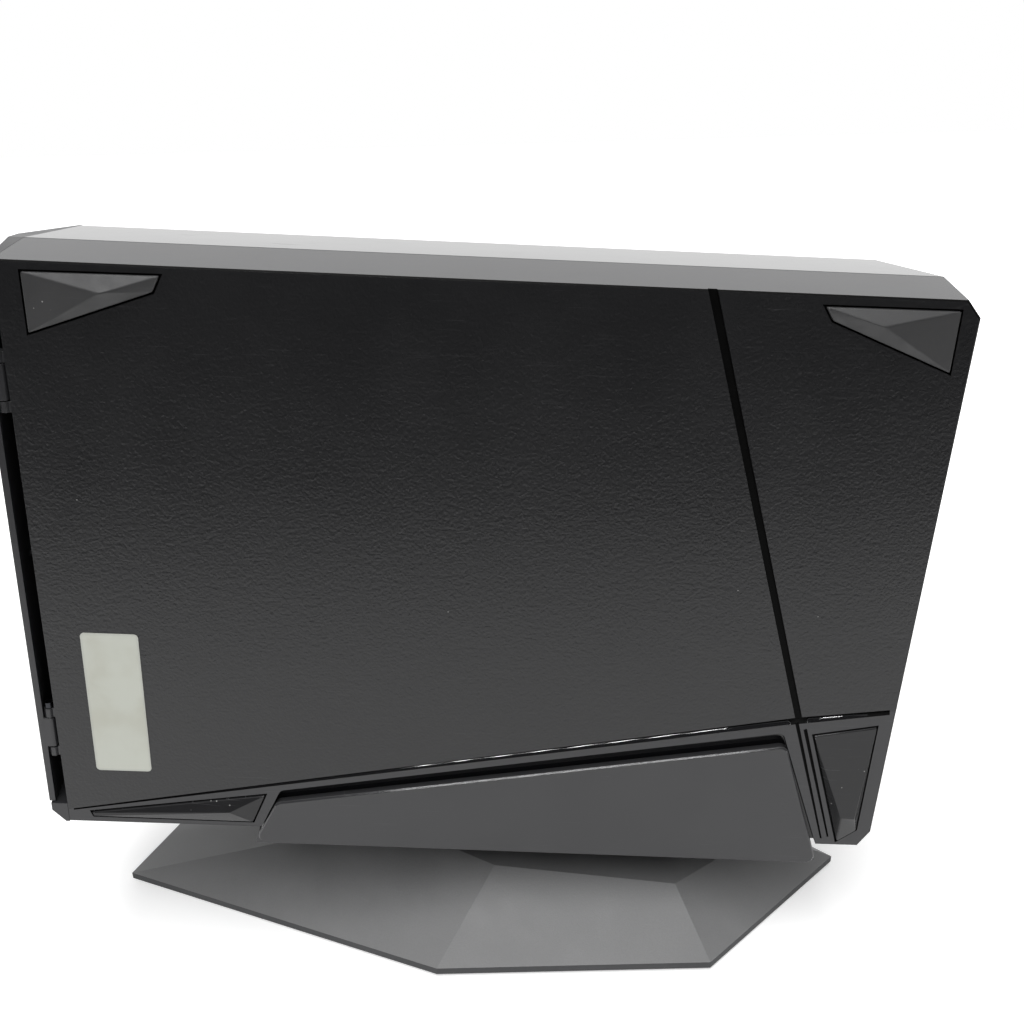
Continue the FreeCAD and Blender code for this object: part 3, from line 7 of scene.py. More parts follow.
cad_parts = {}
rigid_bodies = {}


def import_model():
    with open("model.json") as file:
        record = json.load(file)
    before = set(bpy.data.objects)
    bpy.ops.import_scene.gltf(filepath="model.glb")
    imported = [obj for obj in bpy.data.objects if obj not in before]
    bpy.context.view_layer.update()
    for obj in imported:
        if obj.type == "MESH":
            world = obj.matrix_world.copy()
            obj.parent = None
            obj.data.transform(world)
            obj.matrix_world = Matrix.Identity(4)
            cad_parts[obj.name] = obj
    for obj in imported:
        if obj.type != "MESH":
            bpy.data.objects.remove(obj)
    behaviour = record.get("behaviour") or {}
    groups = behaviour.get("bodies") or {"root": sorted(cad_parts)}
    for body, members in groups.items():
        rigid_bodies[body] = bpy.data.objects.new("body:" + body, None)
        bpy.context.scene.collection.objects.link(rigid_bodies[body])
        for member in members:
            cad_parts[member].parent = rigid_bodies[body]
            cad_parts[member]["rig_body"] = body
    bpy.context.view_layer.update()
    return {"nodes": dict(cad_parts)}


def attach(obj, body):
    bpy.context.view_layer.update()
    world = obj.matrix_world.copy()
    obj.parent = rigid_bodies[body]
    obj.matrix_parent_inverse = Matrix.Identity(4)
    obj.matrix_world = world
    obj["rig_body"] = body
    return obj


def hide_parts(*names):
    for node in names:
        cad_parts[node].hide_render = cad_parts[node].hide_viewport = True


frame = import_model()
nodes = frame["nodes"]
print("frame loaded with", len(nodes), "parts")

# The housing leans on its stand, so most places are given in the housing's own frame in mm:
# x back from the front, y across from the panel to the glossy cover, z up along the housing
housing = {"lean": 4.0, "middle": (122.9236, 31.5), "lift": 50.67}
leanAngle = math.radians(housing["lean"])
leanTurn = Matrix.Rotation(leanAngle, 3, "Y")
leanBack = leanTurn.transposed()
housingZero = Vector((-housing["middle"][0], -housing["middle"][1], housing["lift"])) / 1000


def place(x, y, z):
    return leanTurn @ (Vector((x, y, z)) / 1000) + housingZero


def housingSpot(point):
    return leanBack @ (point - housingZero) * 1000


def addObject(name, data):
    made = bpy.data.objects.new(name, data)
    bpy.context.scene.collection.objects.link(made)
    return made


# Node helpers, for materials and for geometry
def put(tree, kind, inputs=None, **settings):
    made = tree.nodes.new(kind)
    for name, value in settings.items():
        setattr(made, name, value)
    for name, value in (inputs or {}).items():
        if isinstance(value, bpy.types.NodeSocket):
            tree.links.new(value, made.inputs[name])
        else:
            made.inputs[name].default_value = value
    return made


def calc(tree, operation, a, b):
    return put(tree, "ShaderNodeMath", {0: a, 1: b}, operation=operation).outputs[0]


def plus(tree, a, b):
    return calc(tree, "ADD", a, b)


def minus(tree, a, b):
    return calc(tree, "SUBTRACT", a, b)


def times(tree, a, b):
    return calc(tree, "MULTIPLY", a, b)


def between(tree, value, low, high, outLow=0.0, outHigh=1.0):
    ranged = put(tree, "ShaderNodeMapRange", {"Value": value, "From Min": low, "From Max": high,
                                              "To Min": outLow, "To Max": outHigh},
                 interpolation_type="SMOOTHSTEP")
    return ranged.outputs[0]


def blendColour(tree, factor, a, b):
    a, b = (value if isinstance(value, bpy.types.NodeSocket) else (*value, 1.0) for value in (a, b))
    return put(tree, "ShaderNodeMix", {0: factor, 6: a, 7: b}, data_type="RGBA").outputs[2]


def noise(tree, spot, size, detail=2.0, rough=0.5):
    return put(tree, "ShaderNodeTexNoise", {"Vector": spot, "Scale": 1.0 / size, "Detail": detail,
                                            "Roughness": rough}).outputs[0]


def cells(tree, spot, size, shape=None, **settings):
    inputs = {"Vector": spot, "Scale": 1.0 / size, **(shape or {})}
    return put(tree, "ShaderNodeTexVoronoi", inputs, **settings).outputs


def chance(tree, colour):
    # one random number for each cell, from its random colour
    return put(tree, "ShaderNodeSeparateColor", {0: colour}).outputs[0]


def axesOf(tree, spot):
    return put(tree, "ShaderNodeSeparateXYZ", {0: spot}).outputs


def stretched(tree, spot, turn, scale):
    return put(tree, "ShaderNodeMapping", {"Vector": spot, "Rotation": turn, "Scale": scale}).outputs[0]


def startMaterial(name):
    made = bpy.data.materials.new(name)
    made.use_nodes = True
    tree = made.node_tree
    tree.nodes.clear()
    shader = tree.nodes.new("ShaderNodeBsdfPrincipled")
    put(tree, "ShaderNodeOutputMaterial", {"Surface": shader.outputs[0]})
    coords = tree.nodes.new("ShaderNodeTexCoord")
    # Object coordinates turned into the housing's own millimetres
    spot = put(tree, "ShaderNodeMapping", {"Vector": coords.outputs["Object"], "Location": housingZero,
                                           "Rotation": (0.0, leanAngle, 0.0), "Scale": (0.001,) * 3},
               vector_type="TEXTURE").outputs[0]
    return made, tree, shader, spot


def settle(tree, shader, colour, roughness, height=None, depth=0.0):
    # depth is how deep the relief goes, in mm
    tree.links.new(colour, shader.inputs["Base Color"])
    tree.links.new(roughness, shader.inputs["Roughness"])
    if height is not None:
        bump = put(tree, "ShaderNodeBump", {"Height": height, "Distance": depth / 1000})
        tree.links.new(bump.outputs[0], shader.inputs["Normal"])


# Dust and scratches that every surface carries a little of; sizes in mm
dustLook = {"colour": (0.42, 0.42, 0.41), "cover": 0.7, "core": 0.6}
scratchLook = {"colour": (0.30, 0.30, 0.31), "length": 14.0, "width": 0.16, "rough": 0.12, "share": 0.30,
               "tip": 0.3, "skew": 0.2, "edge": 0.05, "patch": 26.0, "patchFrom": 0.45, "patchTo": 0.62}
noiseMiddle = (0.3, 0.7)  # where most of a noise's values lie


def dustMask(tree, spot, cell, share, size):
    # one round speck in a few of the cells
    made = cells(tree, spot, cell)
    few = calc(tree, "LESS_THAN", chance(tree, made["Color"]), share)
    near = between(tree, made["Distance"], size / cell, dustLook["core"] * size / cell)
    return times(tree, few, near)


def hairlines(tree, spot, turn, length, width):
    look = scratchLook
    along = stretched(tree, spot, (look["tip"], turn, look["skew"]), (1.0 / length, 1.0 / length, 1.0 / width))
    lines = noise(tree, along, 1.0, detail=1.0)
    patches = noise(tree, spot, look["patch"], detail=1.0)
    fine = between(tree, lines, 1.0 - look["share"], 1.0 - look["share"] + look["edge"])
    return times(tree, fine, between(tree, patches, look["patchFrom"], look["patchTo"]))


# What a moulded plastic or rubber has unless its own look says otherwise; sizes in mm
plainLook = {"roughSpread": 0.08, "cloudRange": (0.25, 0.75), "speckle": 0.0, "shine": 0.5, "coat": 0.0,
             "coatRough": 0.03, "scratchTurn": 0.6, "scratchTint": 0.12, "dustCell": 5.0, "dustShare": 0.05,
             "dustSize": 0.14}


def plastic(name, ownLook):
    look = {**plainLook, **ownLook}
    made, tree, shader, spot = startMaterial(name)
    grain = noise(tree, spot, look["grainSize"], detail=3.0, rough=0.6)
    cloudy = noise(tree, spot, look["cloudSize"], detail=4.0, rough=0.6)
    rub = hairlines(tree, spot, look["scratchTurn"], scratchLook["length"], scratchLook["width"])
    dust = dustMask(tree, spot, look["dustCell"], look["dustShare"], look["dustSize"])
    colour = blendColour(tree, cloudy, look["colour"], look["paleColour"])
    colour = blendColour(tree, times(tree, grain, look["speckle"]), colour, look["paleColour"])
    colour = blendColour(tree, times(tree, rub, look["scratchTint"]), colour, scratchLook["colour"])
    colour = blendColour(tree, times(tree, dust, dustLook["cover"]), colour, dustLook["colour"])
    rough = between(tree, cloudy, *look["cloudRange"], look["roughness"] - look["roughSpread"],
                    look["roughness"] + look["roughSpread"])
    rough = plus(tree, rough, times(tree, rub, scratchLook["rough"]))
    settle(tree, shader, colour, rough, grain, look["grainDepth"])
    shader.inputs["Specular IOR Level"].default_value = look["shine"]
    shader.inputs["Coat Weight"].default_value = look["coat"]
    shader.inputs["Coat Roughness"].default_value = look["coatRough"]
    return made


satinLook = {"colour": (0.021, 0.021, 0.023), "paleColour": (0.028, 0.028, 0.030), "grainSize": 0.22,
             "grainDepth": 0.012, "cloudSize": 18.0, "roughness": 0.36, "roughSpread": 0.05}
cheekLook = dict(satinLook, colour=(0.031, 0.031, 0.033), paleColour=(0.036, 0.036, 0.038), roughness=0.40,
                 grainDepth=0.010, scratchTurn=1.1)
cheekEdgeLook = dict(cheekLook, roughness=0.11, roughSpread=0.02, grainDepth=0.002)
glossLook = {"colour": (0.006, 0.006, 0.007), "paleColour": (0.009, 0.009, 0.010), "grainSize": 6.0,
             "grainDepth": 0.002, "cloudSize": 30.0, "roughness": 0.08, "roughSpread": 0.03, "dustShare": 0.08,
             "scratchTint": 0.05, "coat": 0.15, "shine": 0.34}
beadLook = dict(glossLook, colour=(0.010, 0.010, 0.011), roughness=0.06, roughSpread=0.01, shine=0.9, coat=1.0,
                coatRough=0.04, dustShare=0.0, scratchTint=0.0)
footLook = dict(glossLook, colour=(0.012, 0.012, 0.013), paleColour=(0.020, 0.020, 0.021), roughness=0.17,
                roughSpread=0.04, coat=0.0, dustCell=1.9, dustShare=0.30, dustSize=0.24, scratchTint=0.08)
# painted shade: the faces inside the grooves get a near-black colour with little shine, standing in for the shade
# in the grooves
grooveShadeLook = {"colour": (0.0012, 0.0012, 0.0012), "paleColour": (0.003, 0.003, 0.003), "grainSize": 0.3,
              "grainDepth": 0.004, "cloudSize": 9.0, "roughness": 0.5, "roughSpread": 0.05, "shine": 0.06,
              "scratchTint": 0.02}
grainedLook = {"colour": (0.096, 0.097, 0.098), "paleColour": (0.200, 0.201, 0.203), "grainSize": 0.42,
               "grainDepth": 0.05, "cloudSize": 22.0, "roughness": 0.52, "speckle": 0.75, "dustShare": 0.08}
# painted shade: the stand base's steep sides are given a much darker colour than its top, for the shade on them
shadedRimLook = dict(grainedLook, colour=(0.022, 0.022, 0.024), paleColour=(0.060, 0.061, 0.064), roughness=0.6)
rubberLook = {"colour": (0.011, 0.011, 0.012), "paleColour": (0.018, 0.018, 0.019), "grainSize": 0.5,
              "grainDepth": 0.02, "cloudSize": 7.0, "roughness": 0.60, "dustCell": 2.2, "dustShare": 0.26,
              "dustSize": 0.22, "shine": 0.9}
innerLook = {"colour": (0.022, 0.022, 0.024), "paleColour": (0.034, 0.034, 0.036), "grainSize": 0.35,
             "grainDepth": 0.015, "cloudSize": 12.0, "roughness": 0.5}
trayLook = dict(innerLook, colour=(0.035, 0.035, 0.038), paleColour=(0.052, 0.052, 0.056), roughness=0.45)
acetalLook = {"colour": (0.70, 0.70, 0.66), "paleColour": (0.80, 0.80, 0.77), "grainSize": 0.8,
              "grainDepth": 0.006, "cloudSize": 8.0, "roughness": 0.38, "dustShare": 0.0}
chipLook = {"colour": (0.016, 0.016, 0.017), "paleColour": (0.030, 0.030, 0.031), "grainSize": 0.12,
            "grainDepth": 0.008, "cloudSize": 3.0, "roughness": 0.55, "dustShare": 0.02}
beltLook = dict(rubberLook, colour=(0.012, 0.012, 0.012), roughness=0.75)


# The near shell: leather grain on the panel above the slanted step, satin below it, fine grit on its sides
panelLook = {"leather": (0.0080, 0.0080, 0.0088), "leatherPale": (0.0115, 0.0115, 0.0125), "leatherRough": 0.335,
             "smooth": (0.024, 0.024, 0.026), "smoothPale": (0.030, 0.030, 0.032), "smoothRough": 0.36,
             "pebble": 0.85, "pebbleShare": -0.7, "crease": 1.36, "warp": 0.9, "grainDepth": 0.075,
             "grit": 0.26, "gritDepth": 0.008, "gritRough": 0.22, "cloudSize": 24.0, "roughSpread": 0.10,
             "scratchTurn": 0.5, "scratchLength": 18.0, "scratchWidth": 0.14, "scratchTint": 0.07,
             "scratch": (0.30, 0.30, 0.31), "dust": (0.40, 0.40, 0.39), "dustCover": 0.6, "dustCell": 4.5,
             "dustShare": 0.08, "dustSize": 0.20, "faceFrom": 0.45, "faceTo": 0.25, "stepEdge": 0.4,
             "stepLine": ((6.3, 4.4), (211.4, 43.2), (236.2, 46.9))}


def panelMaterial():
    look = panelLook
    made, tree, shader, spot = startMaterial("panelPlastic")
    axes = axesOf(tree, spot)
    heights = []
    for (ax, az), (bx, bz) in zip(look["stepLine"], look["stepLine"][1:]):
        slope = (bz - az) / (bx - ax)
        heights.append(plus(tree, times(tree, axes[0], slope), az - ax * slope))
    above = minus(tree, axes[2], calc(tree, "MINIMUM", *heights))
    onFace = between(tree, axes[1], look["faceFrom"], look["faceTo"])
    leather = times(tree, between(tree, above, 0.0, look["stepEdge"]), onFace)
    drift = put(tree, "ShaderNodeTexNoise", {"Vector": spot, "Scale": look["warp"], "Detail": 2.0})
    warped = put(tree, "ShaderNodeVectorMath", {0: spot, 1: drift.outputs["Color"]}, operation="ADD").outputs[0]
    pebbles = cells(tree, warped, look["pebble"], {"Smoothness": 0.7}, feature="SMOOTH_F1")["Distance"]
    creases = noise(tree, warped, look["crease"], detail=4.0, rough=0.62)
    leatherHeight = plus(tree, times(tree, pebbles, look["pebbleShare"]), creases)
    grit = noise(tree, spot, look["grit"], detail=2.0, rough=0.6)
    cloudy = noise(tree, spot, look["cloudSize"], detail=4.0, rough=0.6)
    rub = hairlines(tree, spot, look["scratchTurn"], look["scratchLength"], look["scratchWidth"])
    dust = dustMask(tree, spot, look["dustCell"], look["dustShare"], look["dustSize"])
    leatherColour = blendColour(tree, cloudy, look["leather"], look["leatherPale"])
    smoothColour = blendColour(tree, cloudy, look["smooth"], look["smoothPale"])
    colour = blendColour(tree, leather, smoothColour, leatherColour)
    colour = blendColour(tree, times(tree, rub, look["scratchTint"]), colour, look["scratch"])
    colour = blendColour(tree, times(tree, dust, look["dustCover"]), colour, look["dust"])
    rough = blendColour(tree, onFace, (look["gritRough"],) * 3, (look["smoothRough"],) * 3)
    rough = blendColour(tree, leather, rough, (look["leatherRough"],) * 3)
    rough = plus(tree, rough, times(tree, minus(tree, cloudy, 0.5), look["roughSpread"]))
    deep = times(tree, leather, times(tree, leatherHeight, look["grainDepth"]))
    fine = times(tree, minus(tree, 1.0, onFace), times(tree, grit, look["gritDepth"]))
    settle(tree, shader, colour, rough, plus(tree, deep, fine), 1.0)
    return made


# Metals: rolled streaks, a cloudy haze and a spangle of patches; roughness from the smooth to the rough places
metalMix = {"cloud": 0.6, "rough": 0.4, "range": (0.3, 1.1)}


def sheetMetal(name, look):
    made, tree, shader, spot = startMaterial(name)
    rolled = noise(tree, stretched(tree, spot, (0, 0, 0), look["grainStretch"]), 1.0, detail=3.0, rough=0.6)
    cloudy = noise(tree, spot, look["cloudSize"], detail=3.0)
    patch = chance(tree, cells(tree, spot, look["cloudSize"])["Color"])
    mixed = plus(tree, times(tree, patch, look["spangle"]), times(tree, cloudy, metalMix["cloud"]))
    colour = blendColour(tree, mixed, look["colour"], look["paleColour"])
    worn = plus(tree, rolled, times(tree, mixed, metalMix["rough"]))
    rough = between(tree, worn, *metalMix["range"], *look["roughness"])
    settle(tree, shader, colour, rough, rolled, look["grainDepth"])
    shader.inputs["Metallic"].default_value = 1.0
    return made


zincLook = {"colour": (0.47, 0.48, 0.49), "paleColour": (0.60, 0.61, 0.62), "grainStretch": (0.05, 2.0, 3.5),
            "grainDepth": 0.006, "cloudSize": 9.0, "spangle": 0.35, "roughness": (0.28, 0.46)}
groundLook = {"colour": (0.60, 0.60, 0.61), "paleColour": (0.68, 0.68, 0.69), "grainStretch": (6.0, 0.6, 0.6),
              "grainDepth": 0.002, "cloudSize": 5.0, "spangle": 0.05, "roughness": (0.10, 0.28)}
bluedLook = dict(groundLook, colour=(0.035, 0.036, 0.040), paleColour=(0.060, 0.062, 0.068),
                 roughness=(0.26, 0.44))
castLook = {"colour": (0.40, 0.41, 0.42), "paleColour": (0.50, 0.51, 0.52), "grainStretch": (1.4, 1.4, 1.4),
            "grainDepth": 0.03, "cloudSize": 6.0, "spangle": 0.1, "roughness": (0.40, 0.58)}


boardLook = {"mask": (0.010, 0.105, 0.040), "copper": (0.020, 0.165, 0.060), "pad": (0.62, 0.56, 0.40),
             "cell": 4.4, "order": 0.55, "track": (0.52, 0.60), "hole": (0.09, 0.06), "haze": 5.0,
             "roughness": (0.26, 0.40), "relief": 0.03}


def boardMaterial():
    look = boardLook
    made, tree, shader, spot = startMaterial("solderMask")
    pads, tracks = (cells(tree, spot, look["cell"], {"Randomness": look["order"]}, distance=distance)["Distance"]
                    for distance in ("CHEBYCHEV", "MANHATTAN"))
    runs = between(tree, tracks, *look["track"])
    drilled = between(tree, pads, *look["hole"])
    colour = blendColour(tree, runs, look["mask"], look["copper"])
    colour = blendColour(tree, drilled, colour, look["pad"])
    rough = between(tree, noise(tree, spot, look["haze"], detail=3.0), *noiseMiddle, *look["roughness"])
    settle(tree, shader, colour, rough, plus(tree, runs, drilled), look["relief"])
    return made


labelLook = {"paper": (0.52, 0.535, 0.475), "stain": (0.47, 0.475, 0.41), "edge": (0.40, 0.41, 0.38),
             "fibre": 0.5, "fibreTurn": (0.0, 0.2, 0.0), "fibreStretch": (1.0, 1.0, 0.35), "stainSize": 14.0,
             "stainRange": (0.4, 0.7), "roughness": (0.29, 0.42), "relief": 0.008,
             "box": ((14.4, 18.7), (29.9, 63.5)), "border": (0.9, 0.1), "borderShare": 0.5}


def labelMaterial():
    look = labelLook
    made, tree, shader, spot = startMaterial("labelPaper")
    axes = axesOf(tree, spot)
    (x0, z0), (x1, z1) = look["box"]
    pulled = stretched(tree, spot, look["fibreTurn"], look["fibreStretch"])
    fibre = noise(tree, pulled, look["fibre"], detail=3.0, rough=0.6)
    stain = noise(tree, spot, look["stainSize"], detail=3.0)
    colour = blendColour(tree, between(tree, stain, *look["stainRange"]), look["paper"], look["stain"])
    inX = calc(tree, "MINIMUM", minus(tree, axes[0], x0), minus(tree, x1, axes[0]))
    inZ = calc(tree, "MINIMUM", minus(tree, axes[2], z0), minus(tree, z1, axes[2]))
    rim = between(tree, calc(tree, "MINIMUM", inX, inZ), *look["border"])
    colour = blendColour(tree, times(tree, rim, look["borderShare"]), colour, look["edge"])
    rough = between(tree, fibre, *noiseMiddle, *look["roughness"])
    settle(tree, shader, colour, rough, fibre, look["relief"])
    return made


lensLook = {"colour": (0.62, 0.74, 0.92), "paleColour": (0.80, 0.72, 0.95), "haze": 2.4, "detail": 1.0,
            "roughness": (0.02, 0.06), "clear": 0.85}
guideLook = {"colour": (0.62, 0.66, 0.70), "paleColour": (0.74, 0.77, 0.80), "haze": 1.6, "detail": 2.0,
             "roughness": (0.18, 0.30), "clear": 0.3}


def clearPlastic(name, look):
    made, tree, shader, spot = startMaterial(name)
    haze = noise(tree, spot, look["haze"], detail=look["detail"])
    colour = blendColour(tree, haze, look["colour"], look["paleColour"])
    settle(tree, shader, colour, between(tree, haze, *noiseMiddle, *look["roughness"]))
    shader.inputs["Transmission Weight"].default_value = look["clear"]
    return made


finishes = {
    "panel": panelMaterial(),
    "satin": plastic("satinPlastic", satinLook),
    "cheek": plastic("cheekPlastic", cheekLook),
    "cheekEdge": plastic("cheekEdgePlastic", cheekEdgeLook),
    "bead": plastic("beadGloss", beadLook),
    "foot": plastic("footGloss", footLook),
    "groove": plastic("groovePaintedShade", grooveShadeLook),
    "rim": plastic("rimPaintedShade", shadedRimLook),
    "gloss": plastic("glossPlastic", glossLook),
    "grained": plastic("grainedPlastic", grainedLook),
    "rubber": plastic("mattRubber", rubberLook),
    "inner": plastic("innerPlastic", innerLook),
    "tray": plastic("trayPlastic", trayLook),
    "acetal": plastic("acetal", acetalLook),
    "chip": plastic("chipBody", chipLook),
    "belt": plastic("beltRubber", beltLook),
    "zinc": sheetMetal("zincSheet", zincLook),
    "ground": sheetMetal("groundSteel", groundLook),
    "blued": sheetMetal("bluedSteel", bluedLook),
    "cast": sheetMetal("castMetal", castLook),
    "board": boardMaterial(),
    "label": labelMaterial(),
    "lens": clearPlastic("coatedLens", lensLook),
    "guide": clearPlastic("milkyGuide", guideLook),
}
print("finishes ready:", len(finishes))

wearing = {
    "panel": ["lower_shell"],
    "gloss": ["upper_shell", "eject_button"],
    "foot": ["gloss_feet"],
    "satin": ["front_frame", "flap_door"],
    "cheek": ["stand_cradle"],
    "grained": ["stand_base"],
    "rubber": ["rubber_feet", "stand_pads", "deck_dampers"],
    "label": ["label"],
    "guide": ["lamp_guide"],
    "blued": ["flap_pins", "flap_spring"],
    "ground": ["guide_rods", "lead_screw"],
    "zinc": ["case_top", "case_bottom", "clamp_bridge", "loading_motor", "spindle_motor", "sled_motor",
             "shell_screws", "board_screws", "stand_screws"],
    "cast": ["traverse_deck", "pickup_sled"],
    "inner": ["unit_front_plate", "unit_frame", "turntable", "lens_carrier", "usb_socket", "dc_jack", "sata_plug",
              "sata_socket", "tact_switch"],
    "tray": ["disc_tray", "tray_front"],
    "acetal": ["clamp_puck", "loading_gear", "pulley_gear", "motor_pulley", "cam_slider"],
    "chip": ["bridge_chips", "drive_chips"],
    "board": ["bridge_board", "drive_board", "switch_board"],
    "belt": ["drive_belt"],
    "lens": ["objective_lens"],
}
for finish, members in wearing.items():
    for name in members:
        slots = nodes[name].data.materials
        slots.clear()
        slots.append(finishes[finish])
print("finishes worn by", sum(len(members) for members in wearing.values()), "parts")


# Moulded and pressed parts get the small round edges that a tool leaves; width in mm
softEdges = {
    "stand_base": 0.6, "stand_cradle": 0.35, "stand_pads": 0.4,
    "lower_shell": 0.25, "upper_shell": 0.35, "front_frame": 0.25, "flap_door": 0.3, "eject_button": 0.3,
    "rubber_feet": 0.35, "usb_socket": 0.2, "dc_jack": 0.2,
    "unit_front_plate": 0.3, "tray_front": 0.3, "disc_tray": 0.25, "case_top": 0.25, "case_bottom": 0.2,
    "clamp_bridge": 0.15, "clamp_puck": 0.15, "turntable": 0.12, "traverse_deck": 0.15,
    "pickup_sled": 0.2, "loading_gear": 0.06, "pulley_gear": 0.06, "cam_slider": 0.1, "loading_motor": 0.2,
    "spindle_motor": 0.2, "sled_motor": 0.2,
}
# Angles in degrees, the least area of a broad face in square metres, weld and sliver in metres
edgeRule = {"corner": 25, "ridge": 2, "ridgeShare": 0.5, "broad": 0.00002, "segments": 2, "flatWeight": 90,
            "weld": 0.00001, "flat": 0.6, "sliver": 0.000001}


def freeze(made):
    # keep the evaluated shape as a plain mesh and leave the modifiers behind
    bpy.context.view_layer.update()
    mesh = bpy.data.meshes.new_from_object(made.evaluated_get(bpy.context.evaluated_depsgraph_get()))
    made.modifiers.clear()
    made.data = mesh


def edgeShare(edge):
    # sharp corners are rounded in full, and the low ridges between broad facets by half
    turned = math.degrees(edge.calc_face_angle(0.0))
    if turned > edgeRule["corner"]:
        return 1.0
    broad = min(face.calc_area() for face in edge.link_faces) > edgeRule["broad"]
    return edgeRule["ridgeShare"] if broad and turned > edgeRule["ridge"] else 0.0


def roundOff(name, form, node, width):
    # round the edges of a closed form and let it stand for its node
    weights = form.edges.layers.float.new("bevel_weight_edge")
    for edge in form.edges:
        edge[weights] = edgeShare(edge)
    for face in form.faces:
        face.smooth = True
    mesh = bpy.data.meshes.new(name)
    form.to_mesh(mesh)
    form.free()
    mesh.materials.append(nodes[node].data.materials[0])
    made = addObject(name, mesh)
    bevel = made.modifiers.new("rounding", "BEVEL")
    bevel.width = width / 1000
    bevel.segments = edgeRule["segments"]
    bevel.limit_method = "WEIGHT"
    freeze(made)
    form = bmesh.new()
    form.from_mesh(made.data)
    bmesh.ops.dissolve_degenerate(form, dist=edgeRule["sliver"], edges=form.edges)
    form.to_mesh(made.data)
    form.free()
    flats = made.modifiers.new("flats", "WEIGHTED_NORMAL")  # broad faces stay flat beside their round edges
    flats.weight = edgeRule["flatWeight"]
    freeze(made)
    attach(made, nodes[node]["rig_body"])
    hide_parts(node)
    return made


def soften(name, width):
    form = bmesh.new()
    form.from_mesh(nodes[name].data)
    bmesh.ops.remove_doubles(form, verts=form.verts, dist=edgeRule["weld"])
    bmesh.ops.dissolve_limit(form, angle_limit=math.radians(edgeRule["flat"]), verts=form.verts, edges=form.edges)
    return roundOff(name + "Soft", form, name, width)


softened = {name: soften(name, width) for name, width in softEdges.items()}
print("edges softened on", len(softened), "parts")


# Where a part changes its finish, and where shade is painted on as a darker finish (inside the grooves and on the
# stand's sides): a box in the housing's mm for the shell, a facing for the stand
recessBox = ((55, 226), (0.9, 3.2), (-1.5, 39.5))
grooveBox = ((-1, 239), (0.14, 1.3), (-2, 166))
facing = {"rimUp": 0.4, "cheekFlat": 0.98}


def within(spot, box):
    return all(low < value < high for value, (low, high) in zip(spot, box))


def wearWhere(name, finish, test):
    # another finish on the faces that pass the test, given their middle and facing in the housing's frame
    mesh = softened[name].data
    mesh.materials.append(finishes[finish])
    for face in mesh.polygons:
        if test(housingSpot(face.center), leanBack @ face.normal):
            face.material_index = len(mesh.materials) - 1


wearWhere("lower_shell", "gloss", lambda spot, way: within(spot, recessBox))
# painted shade inside the grooves of the near shell
wearWhere("lower_shell", "groove", lambda spot, way: within(spot, grooveBox))
# painted shade on the stand base's steep side faces
wearWhere("stand_base", "rim", lambda spot, way: abs((leanTurn @ way).z) < facing["rimUp"])
wearWhere("stand_cradle", "cheekEdge", lambda spot, way: spot.y < 0 and abs(way.y) < facing["cheekFlat"])


# Glossy bead rolled along the lower side of the slanted step, in two runs that stop short of the crossing:
# "widths" are (share of the length, width) pairs, and "trim" is what is left off at each end in mm
stepBead = {"line": panelLook["stepLine"], "drop": 1.4, "across": 1.7, "sink": 0.95, "top": 0.02, "steps": 8}
beadRuns = {
    "stepBeadLong": {"widths": ((0, 0.3), (0.02, 0.55), (0.1, 0.9), (0.5, 1), (0.9, 1), (0.995, 1), (1, 0.6)),
                     "trim": (12, 2.2)},
    "stepBeadShort": {"widths": ((0, 0.6), (0.02, 1), (0.6, 0.9), (0.9, 0.6), (1, 0.3)), "trim": (2.2, 1.5)},
}


def sweptStrip(name, sections, finish, body):
    mesh = bpy.data.meshes.new(name)
    form = bmesh.new()
    rings = [[form.verts.new(point) for point in section] for section in sections]
    for a, b in zip(rings, rings[1:]):
        for i in range(len(a) - 1):
            form.faces.new((a[i], a[i + 1], b[i + 1], b[i]))
        form.faces.new((a[-1], a[0], b[0], b[-1]))
    form.faces.new(rings[0][::-1])
    form.faces.new(rings[-1])
    bmesh.ops.recalc_face_normals(form, faces=form.faces)
    for face in form.faces:
        face.smooth = True
    form.to_mesh(mesh)
    form.free()
    mesh.materials.append(finish)
    made = addObject(name, mesh)
    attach(made, body)
    return made


def beadSections(points, look):
    sections = []
    for (x, z), width, (nx, nz) in points:
        section = []
        for i in range(look["steps"] + 1):
            angle = math.pi / 2 * i / look["steps"]
            across = -look["drop"] + look["across"] * width * math.sin(angle)
            depth = look["top"] + look["sink"] * (1 - math.cos(angle))
            section.append(place(x + nx * across, depth, z + nz * across))
        section.append(place(x - nx * look["drop"], look["top"] + look["sink"], z - nz * look["drop"]))
        sections.append(section)
    return sections


def stepRun(start, end, widths, trim):
    (ax, az), (bx, bz) = start, end
    length = math.hypot(bx - ax, bz - az)
    ux, uz = (bx - ax) / length, (bz - az) / length
    points = []
    for share, width in widths:
        along = trim[0] + (length - trim[0] - trim[1]) * share
        points.append(((ax + ux * along, az + uz * along), width, (-uz, ux)))
    return points


for (name, look), start, end in zip(beadRuns.items(), stepBead["line"], stepBead["line"][1:]):
    run = stepRun(start, end, look["widths"], look["trim"])
    sweptStrip(name, beadSections(run, stepBead), finishes["bead"], "housing")
print("step bead laid")


# Glossy lower feet, facets after the photograph: rim outline and crest points as (x, z), proud in mm
glossFeet = {"rim": 0.4, "foot": 0.7, "round": 0.3,
             "rear": {"outline": ((216.3, 38.4), (233.4, 41.9), (233.4, 6.0), (228.4, 1.9)),
                      "crest": ((227.5, 12.3), (231.2, 12.1)), "proud": 3.0},
             "front": {"outline": ((11.5, 3.7), (61.5, 11.5), (57.7, 2.1), (12.0, 2.4)),
                       "crest": ((51.6, 6.6),), "proud": 2.2}}


